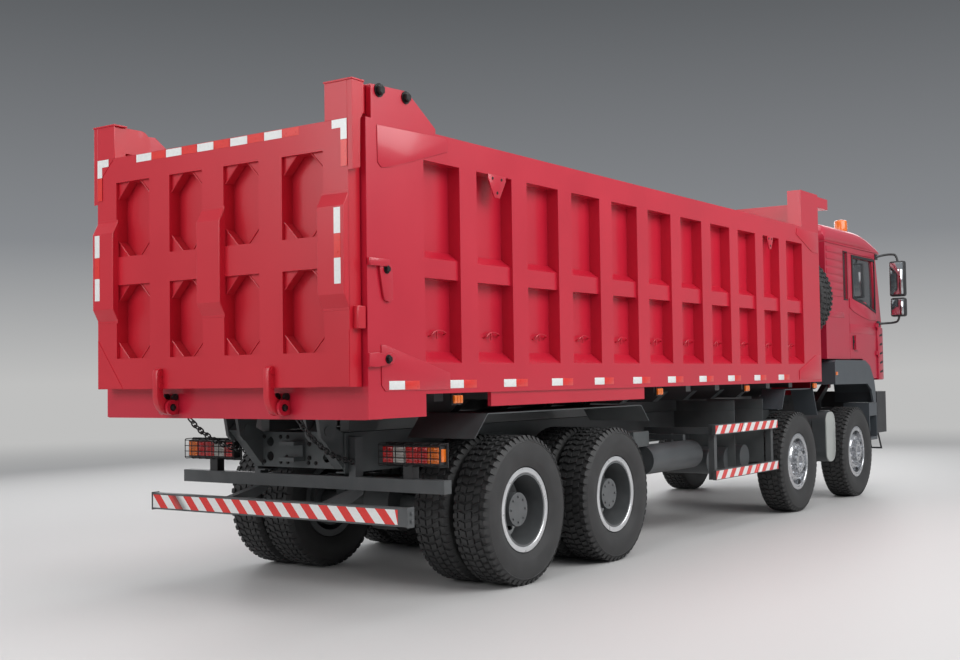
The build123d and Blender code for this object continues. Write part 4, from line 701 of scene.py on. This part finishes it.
fit("tail_lamp_lenses", work, "chassis", "lamp_lens", lens_red, lens_clear, amber_lens)
cage = []
cage_loop = (
    (-0.930, 1.063), (-1.006, 1.063), (-1.019, 1.060), (-1.022, 1.046), (-1.022, 0.929), (-1.019, 0.915),
    (-1.006, 0.912), (-0.930, 0.912),
)
for side in (1, -1):
    for step in range(8):
        x = side * (0.708 + step * (1.227 - 0.708) / 7)
        cage.append([at(x, y, z) for y, z in cage_loop])
    for z in (0.925, 0.968, 1.010, 1.052):
        cage.append([at(side * 0.704, -1.022, z), at(side * 0.96, -1.022, z), at(side * 1.231, -1.022, z)])
bent_rods("lamp_cages", cage, 0.0032, "chassis", dark_steel_and_hole_shade)
work = bmesh.new()
for side in (1, -1):
    add_block(work, (side * 0.700, side * 1.235), (-0.938, -0.928), (0.905, 1.070), edge=0.003)
    add_block(work, (side * 0.722, side * 1.213), (-0.9965, -0.93), (0.923, 1.052), edge=0.012)
fit("tail_lamp_bodies", work, "chassis", "black_plastic", lamp_black)

# Side guards
# Two box rails to a side, on short posts beside the tanks, faced with red and white striped film.
dress(bar_grey, "side_guards")
round_edges(0.004, "side_guards")
guard_face, guard_rear, guard_length, rail_height = 1.2002, 3.372, 1.551, 0.080
work = bmesh.new()
for low in (0.502, 0.932):
    for side in (1, -1):
        striped_film(work, lambda s, h, d: at(side * (guard_face + d), guard_rear + s, low + h),
                     guard_length, rail_height, 0.100, 0.075)
fit("side_guard_film", work, "chassis", "lamp_lens", white_film, red_film)

# Tanks and air reservoirs
# Rolled tanks in dark paint. The one between the right steered wheels is held by steel straps
# and ends in a pale pressed plate. A valve box and flat splash plates sit beside them.
tank_dark = surface("tank_paint", (0.060, 0.066, 0.070), rough=0.4, drift=0.15, scale=4, bump=0.08, grain=160,
                    dust=0.3, dust_top=1.1, dust_color=(0.14, 0.14, 0.135))
tank_pale = surface("pale_tank_end", (0.42, 0.44, 0.42), rough=0.34, metal=0.25, drift=0.05, scale=5,
                    bump=0.05, grain=200)
dress(tank_dark, "tanks")
work = bmesh.new()
outline = []
end_radius, strap_radius = 0.115, 0.118
for cy, cz, start in ((6.615, 0.93, 0), (6.545, 0.93, 90), (6.545, 0.59, 180), (6.615, 0.59, 270)):
    for step in range(7):
        a = math.radians(start + 15 * step)
        outline.append((cy + end_radius * math.cos(a), cz + end_radius * math.sin(a)))
add_plate(work, outline, (1.178, 1.192), edge=0.006)
fit("pale_tank_end", work, "chassis", "polished_alloy", tank_pale)
straps = []
for x in (0.75, 1.02):
    ring = []
    for cy, cz, start in ((6.62, 0.93, 0), (6.54, 0.93, 90), (6.54, 0.59, 180), (6.62, 0.59, 270)):
        for a in (math.radians(start + turned) for turned in (0, 45, 90)):
            ring.append(at(x, cy + strap_radius * math.cos(a), cz + strap_radius * math.sin(a)))
    straps.append(ring + ring[:1])
bent_rods("tank_straps", straps, 0.007, "chassis", dark_steel_and_hole_shade)
work = bmesh.new()
add_block(work, (0.80, 0.95), (2.20, 2.50), (0.86, 1.00), edge=0.012)
add_block(work, (0.42, 0.81), (2.42, 2.46), (0.955, 0.995), edge=0.004)
for y in (2.25, 2.32, 2.39, 2.46):
    add_rod(work, at(0.86, y, 0.862), at(0.86, y, 0.835), 0.014)
fit("valve_box", work, "chassis", "dark_chassis_paint", chassis_grey)
work = bmesh.new()
for y in (4.070, 4.804):
    add_block(work, (0.427, 1.090), (y, y + 0.008), (0.575, 1.130), edge=0.002)
    add_block(work, (0.452, 1.090), (y, y + 0.008), (1.128, 1.235), edge=0.002)
fit("splash_plates", work, "chassis", "dark_chassis_paint", chassis_grey)

# Mudguards and front bumper
# Grey moulded guards over the steered wheels; a black moulded bumper with clear headlamps.
fender_grey = surface("fender_grey", (0.058, 0.068, 0.078), rough=0.42, drift=0.08, scale=4, bump=0.15,
                      grain=500, dust=0.2, dust_top=1.5, dust_color=(0.16, 0.16, 0.16))
black_plastic = surface("black_moulded_plastic", (0.020, 0.021, 0.023), rough=0.45, drift=0.15, scale=6,
                        bump=0.2, grain=450)
dress(fender_grey, "mudguards")
dress(black_plastic, "front_bumper")
round_edges(0.010, "front_bumper")
round_edges(0.006, "mudguards")
work = bmesh.new()
for side in (1, -1):
    add_block(work, (side * 1.168, side * 1.176), (6.86, 6.93), (1.47, 1.51), edge=0.003, slot=0)
    add_block(work, (side * 0.725, side * 1.025), (8.903, 8.912), (0.905, 1.055), edge=0.004, slot=1)
fit("front_side_lamps", work, "chassis", "lamp_lens", amber_lens, lens_clear)

# Cab shell
# Pressed steel cab in the same crimson: a raised waist band and pressed beads behind the door,
# a rolled roof over drip rails, and corner panels whose slots are thin black strips of painted shade beside
# the front.
cab_red = surface("crimson_cab_paint", (0.43, 0.013, 0.040), rough=0.36, coat=0.2, drift=0.04, scale=1.1,
                  bump=0.02, grain=300)
seal_rubber_and_slot_shade = surface("window_rubber_and_slot_shade", (0.014, 0.014, 0.015), rough=0.6, drift=0.15, scale=30, bump=0.15,
                      grain=300)
dress(cab_red, "cab_sides", "cab_back", "cab_front", "cab_floor")
dress(black_plastic, "cab_interior")
round_edges(0.008, "cab_sides", "cab_back")
work = bmesh.new()
for side in (1, -1):
    for bead in range(7):
        low = 2.42 + 0.087 * bead
        add_block(work, (side * 1.112, side * 1.128), (6.760, 7.330), (low, low + 0.066), edge=0.007)
    add_block(work, (side * 1.110, side * 1.134), (6.73, 8.60), (3.048, 3.064), edge=0.005)
    add_block(work, (side * 1.112, side * 1.127), (6.74, 7.35), (2.165, 2.235), edge=0.006)
    add_plate(work, ((8.605, 1.405), (8.60, 1.75), (8.605, 2.05), (8.63, 2.085), (8.79, 2.085), (8.808, 2.06),
                     (8.808, 1.405)), (side * 1.112, side * 1.139), edge=0.010)
fit("cab_pressings", work, "cab", "red_body_paint", cab_red)
roof_line = ((6.720, 3.190), (6.745, 3.240), (6.800, 3.268), (6.900, 3.280), (7.950, 3.280), (8.200, 3.270),
             (8.400, 3.240), (8.560, 3.195), (8.680, 3.145), (8.760, 3.095), (8.805, 3.058))
roof_half, eave, widest_bend = 1.120, 3.050, 0.14
work = bmesh.new()
rings = []
for y, top in roof_line:
    bend = min(widest_bend, 0.8 * (top - eave))
    half = [(roof_half, eave), (roof_half, top - bend)]
    half += [(roof_half - bend + bend * math.cos(t), top - bend + bend * math.sin(t))
             for t in (math.radians(a) for a in (22, 45, 68, 90))]
    half.append((0.45, top + 0.004))
    rings.append([work.verts.new(at(x, y, z)) for x, z in half + [(-x, z) for x, z in reversed(half)]])
for a, b in zip(rings, rings[1:]):
    for k in range(len(a) - 1):
        work.faces.new([a[k], a[k + 1], b[k + 1], b[k]])
work.faces.new(rings[0])
work.faces.new(rings[-1][::-1])
roof = fit("rolled_roof", work, "cab", "red_body_paint", cab_red, smooth=40)
shell = roof.modifiers.new("sheet", "SOLIDIFY")
shell.thickness = 0.02
shell.offset = -1
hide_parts("cab_roof")
work = bmesh.new()
# The corner panels' slots are thin black strips on the panel face: painted shade for the openings.
for side in (1, -1):
    for step in range(5):
        low = 1.475 + 0.118 * step
        slot_shade_strip = ((8.660, low + 0.012), (8.775, low + 0.028), (8.775, low + 0.058), (8.660, low + 0.036))
        add_plate(work, slot_shade_strip, (side * 1.136, side * 1.1400), edge=0.0005)
    seal = (side * 1.1195, side * 1.1235)
    for along, up in (((7.355, 7.515), (2.385, 2.400)), ((7.355, 7.515), (2.975, 2.990)),
                      ((7.355, 7.370), (2.385, 2.990)), ((7.500, 7.515), (2.385, 2.990))):
        add_block(work, seal, along, up, edge=0.001)
fit("deflector_and_seals", work, "cab", "black_plastic", seal_rubber_and_slot_shade)

# Doors
# Crimson door skins with a raised belt panel, rubber round the glass and a black recessed handle.
dress(cab_red, "door_left", "door_right")
belt_panel = ((7.56, 2.415), (7.56, 2.30), (7.70, 2.255), (8.02, 2.20), (8.32, 2.165), (8.575, 2.165),
              (8.57, 2.262), (8.14, 2.352), (7.70, 2.415))
lower_band = ((7.56, 1.985), (7.56, 2.10), (8.575, 2.10), (8.575, 1.985))
window_outer = ((7.665, 2.962), (8.560, 2.962), (8.572, 2.258), (8.14, 2.346), (7.680, 2.408))
window_inner = ((7.705, 2.930), (8.535, 2.930), (8.535, 2.298), (8.13, 2.376), (7.712, 2.432))
hands = (("right", 1), ("left", -1))
for name, side in hands:
    work = bmesh.new()
    add_plate(work, belt_panel, (side * 1.118, side * 1.129), edge=0.004)
    add_plate(work, lower_band, (side * 1.118, side * 1.124), edge=0.003)
    fit(f"door_pressing_{name}", work, f"door_{name}", "red_body_paint", cab_red)
    work = bmesh.new()
    for i in range(5):
        j = (i + 1) % 5
        add_plate(work, (window_outer[i], window_outer[j], window_inner[j], window_inner[i]),
                  (side * 1.117, side * 1.131), edge=0.001)
    add_block(work, (side * 1.1185, side * 1.1235), (7.655, 7.835), (1.785, 1.955), edge=0.002)
    add_block(work, (side * 1.1235, side * 1.1330), (7.670, 7.820), (1.865, 1.897), edge=0.005)
    fit(f"door_trim_{name}", work, f"door_{name}", "black_plastic", seal_rubber_and_slot_shade)

# Glass
# Tinted flat panes in the windscreen, doors and quarter windows.
pane = surface("tinted_glass", (0.045, 0.048, 0.052), rough=0.05, drift=0.05, scale=2, bump=0.0, grain=10,
               spread=0.02)
pane_shader = pane.node_tree.nodes["Principled BSDF"]
pane_shader.inputs["Alpha"].default_value = 0.88
pane_shader.inputs["Specular IOR Level"].default_value = 0.8
dress(pane, "cab_glass", "door_glass_left", "door_glass_right")

# Mirrors and beacon
# Black mirror heads on bent tubes with silvered glass behind; an amber dome on the roof.
mirror_silver = surface("silvered_mirror", (0.55, 0.58, 0.60), rough=0.04, metal=1.0, drift=0.03, scale=4,
                        bump=0.0, grain=10, spread=0.02)
work = bmesh.new()
for side in (1, -1):
    add_block(work, (side * 1.268, side * 1.474), (8.700, 8.795), (2.478, 2.942), edge=0.028)
    add_block(work, (side * 1.276, side * 1.474), (8.700, 8.795), (2.215, 2.462), edge=0.028)
    add_block(work, (side * 1.110, side * 1.132), (8.595, 8.70), (2.965, 3.035), edge=0.006)
    add_block(work, (side * 1.110, side * 1.136), (8.62, 8.72), (2.095, 2.165), edge=0.006)
heads = fit("mirror_heads", work, "cab", "black_plastic", black_plastic)
work = bmesh.new()
for side in (1, -1):
    add_block(work, (side * 1.290, side * 1.452), (8.694, 8.7015), (2.505, 2.915), edge=0.002)
    add_block(work, (side * 1.298, side * 1.452), (8.694, 8.7015), (2.240, 2.437), edge=0.002)
fit("mirror_glass", work, "cab", "polished_alloy", mirror_silver)
upper_arm = ((1.125, 8.64, 3.0), (1.20, 8.72, 3.03), (1.30, 8.745, 3.035), (1.36, 8.747, 3.02),
             (1.375, 8.747, 2.93))
lower_arm = ((1.128, 8.67, 2.13), (1.22, 8.73, 2.135), (1.31, 8.747, 2.14), (1.37, 8.747, 2.16),
             (1.38, 8.747, 2.24))
arms = [[at(side * x, y, z) for x, y, z in route] for side in (1, -1) for route in (upper_arm, lower_arm)]
tubes = bent_rods("mirror_arms", arms, 0.015, "cab", black_plastic)
beacon_x, beacon_y = 0.89, 8.0
work = bmesh.new()
dome = ((0.080, 3.292), (0.080, 3.415), (0.074, 3.432), (0.056, 3.442), (0.026, 3.447))
rings = [[work.verts.new(at(beacon_x + r * math.cos(t), beacon_y + r * math.sin(t), z))
          for t in (2 * math.pi * k / 32 for k in range(32))] for r, z in dome]
for low, high in zip(rings, rings[1:]):
    for k in range(32):
        work.faces.new([low[k], low[(k + 1) % 32], high[(k + 1) % 32], high[k]])
work.faces.new(rings[-1])
work.faces.new(rings[0][::-1])
beacon = fit("beacon_dome", work, "cab", "lamp_lens", amber_lens)
work = bmesh.new()
add_rod(work, at(beacon_x, beacon_y, 3.272), at(beacon_x, beacon_y, 3.294), 0.094, 32, tip=0.086)
fit("beacon_base", work, "cab", "black_plastic", black_plastic)
for piece in (heads, tubes, beacon):
    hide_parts("cab_fittings")

# Wheel rims
# Steered rims are polished alloy; twin rims are grey painted steel with a silver outer lip.
# Each is held by ten cone nuts round its hub.


def on_wheel(axle, side, x, r, a):
    """A place on a wheel: x out from the truck's middle, r from the axle line, turned by a."""
    return at(side * x, axle_forward[axle] + r * math.cos(a), axle_height + r * math.sin(a))


alloy = surface("polished_alloy", (0.58, 0.59, 0.61), rough=0.24, metal=0.95, drift=0.08, scale=8, bump=0.03,
                grain=300)
wheel_grey = surface("wheel_grey", (0.115, 0.122, 0.126), rough=0.40, metal=0.2, drift=0.12, scale=9,
                     bump=0.06, grain=200, dust=0.25, dust_top=1.0, dust_color=(0.15, 0.14, 0.13))
lip_silver = surface("rim_lip_silver", (0.62, 0.63, 0.64), rough=0.30, metal=0.55, drift=0.08, scale=9,
                     bump=0.04, grain=200)
dress(alloy, "spare_rim", *[f"rim_{a}_{s}" for a in "12" for s in ("right", "left")])
dress(wheel_grey, *[f"rim_{a}_{s}" for a in "34" for s in ("right", "left")])
axle_forward = {"1": 7.45, "2": 5.50, "3": 1.35, "4": 0.0}
axle_height = 0.54
outer_twin, inner_twin, single = 1.105, 0.76, 1.076
rim_half = 0.1205
nut_circle, hub_circle = 0.150, 0.092
lip_section = ((0.305, 0.0), (0.305, 0.004), (0.299, 0.006), (0.272, 0.005), (0.262, -0.006), (0.252, -0.010),
               (0.252, -0.002))
for axle in "1234":
    for name, side in hands:
        twin = axle in "34"
        out = Vector((-side, 0, 0))
        disc, size = (0.9455, 0.017) if twin else (1.188, 0.016)
        nose = 1.168 if twin else 1.224
        work = bmesh.new()
        for step in range(10):
            a = 2 * math.pi * (step + 0.5) / 10
            place = on_wheel(axle, side, disc, nut_circle, a)
            add_rod(work, place, place + out * 0.010, size * 1.35, 16, tip=size * 1.2)
            add_rod(work, place + out * 0.010, place + out * 0.032, size, 6)
            add_rod(work, place + out * 0.032, place + out * 0.052, size * 0.62, 12)
        for step in range(8):
            a = 2 * math.pi * step / 8
            add_bolt(work, on_wheel(axle, side, nose, hub_circle, a), out, 0.0085)
        fit(f"wheel_nuts_{axle}_{name}", work, f"wheel_{axle}_{name}",
            "silver_wheel_paint" if twin else "polished_alloy", wheel_grey if twin else alloy)
        lip = (outer_twin if twin else single) + rim_half
        work = bmesh.new()
        rings = [[work.verts.new(on_wheel(axle, side, lip + dx, r, t))
                  for t in (2 * math.pi * k / 72 for k in range(72))] for r, dx in lip_section]
        for i in range(len(rings)):
            a, b = rings[i - 1], rings[i]
            for k in range(72):
                work.faces.new([a[k], a[(k + 1) % 72], b[(k + 1) % 72], b[k]])
        fit(f"rim_lip_{axle}_{name}", work, f"wheel_{axle}_{name}", "polished_alloy",
            lip_silver if twin else alloy)

# Tyres
# Black radial truck tyres with staggered tread blocks, shoulder lugs and ringed sidewalls.
tyre_black = surface("tyre_rubber", (0.030, 0.030, 0.0305), rough=0.62, drift=0.2, scale=9, bump=0.25,
                     grain=160, spread=0.08)
tyre_profile = [
    (-0.106, 0.262), (-0.108, 0.300), (-0.120, 0.312), (-0.127, 0.314), (-0.131, 0.322), (-0.146, 0.362),
    (-0.1475, 0.366), (-0.154, 0.402), (-0.155, 0.430), (-0.152, 0.468), (-0.147, 0.490), (-0.150, 0.494),
    (-0.140, 0.512), (-0.126, 0.522), (-0.06, 0.526), (0, 0.527),
]
tyre_profile = tyre_profile + [(-x, r) for x, r in reversed(tyre_profile[:-1])]
tyre_segments = 96
tyre_pitches = 54
spare_x, spare_y, spare_z = 0.72, 6.445, 2.38
# Each row: side places, start and length in pitches, slant in pitches, base and top radius.
tread_rows = (
    (-0.149, -0.094, 0.10, 0.62, 0.10, 0.505, 0.539),
    (0.094, 0.149, 0.60, 0.62, -0.10, 0.505, 0.539),
    (-0.086, -0.034, 0.32, 0.66, -0.26, 0.523, 0.540),
    (0.034, 0.086, 0.82, 0.66, 0.26, 0.523, 0.540),
    (-0.026, 0.026, 0.05, 0.72, 0.22, 0.523, 0.540),
)


def add_tyre(work, place):
    """A turned carcass with tread blocks set on it; place(x, r, angle) gives a point round the axle line."""
    count = len(tyre_profile)
    rings = [[work.verts.new(place(x, r, 2 * math.pi * i / tyre_segments)) for x, r in tyre_profile]
             for i in range(tyre_segments)]
    for i in range(tyre_segments):
        a, b = rings[i - 1], rings[i]
        for k in range(count):
            m = (k + 1) % count
            work.faces.new([a[k], a[m], b[m], b[k]])
    step = 2 * math.pi / tyre_pitches
    for pitch in range(tyre_pitches):
        for x0, x1, start, length, slant, r0, r1 in tread_rows:
            verts = []
            for r, cut in ((r0, 0.0), (r1, 0.04)):
                xa = x0 + (0 if not cut else 0.020 if abs(x0) > 0.14 else 0.003)
                xb = x1 - (0 if not cut else 0.020 if abs(x1) > 0.14 else 0.003)
                a0 = step * (pitch + start + cut)
                a1 = step * (pitch + start + length - cut)
                lean = step * slant
                verts.extend(work.verts.new(place(x, r, a))
                             for x, a in ((xa, a0), (xb, a0 + lean), (xb, a1 + lean), (xa, a1)))
            for quad in ((4, 5, 6, 7), (0, 1, 5, 4), (1, 2, 6, 5), (2, 3, 7, 6), (3, 0, 4, 7)):
                work.faces.new([verts[i] for i in quad])


for axle in "1234":
    for name, side in hands:
        work = bmesh.new()
        for x in ((outer_twin, inner_twin) if axle in "34" else (single,)):
            add_tyre(work, lambda dx, r, a: at(side * (x + dx), axle_forward[axle] + r * math.sin(a),
                                               axle_height + r * math.cos(a)))
        tyre = fit(f"tread_tyre_{axle}_{name}", work, f"wheel_{axle}_{name}", "tyre_rubber", tyre_black,
                   smooth=30)
        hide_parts(f"tyre_{axle}_{name}")
work = bmesh.new()
add_tyre(work, lambda dx, r, a: at(spare_x + r * math.sin(a), spare_y + dx, spare_z + r * math.cos(a)))
spare = fit("tread_spare_tyre", work, "chassis", "tyre_rubber", tyre_black, smooth=30)
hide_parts("spare_tyre")
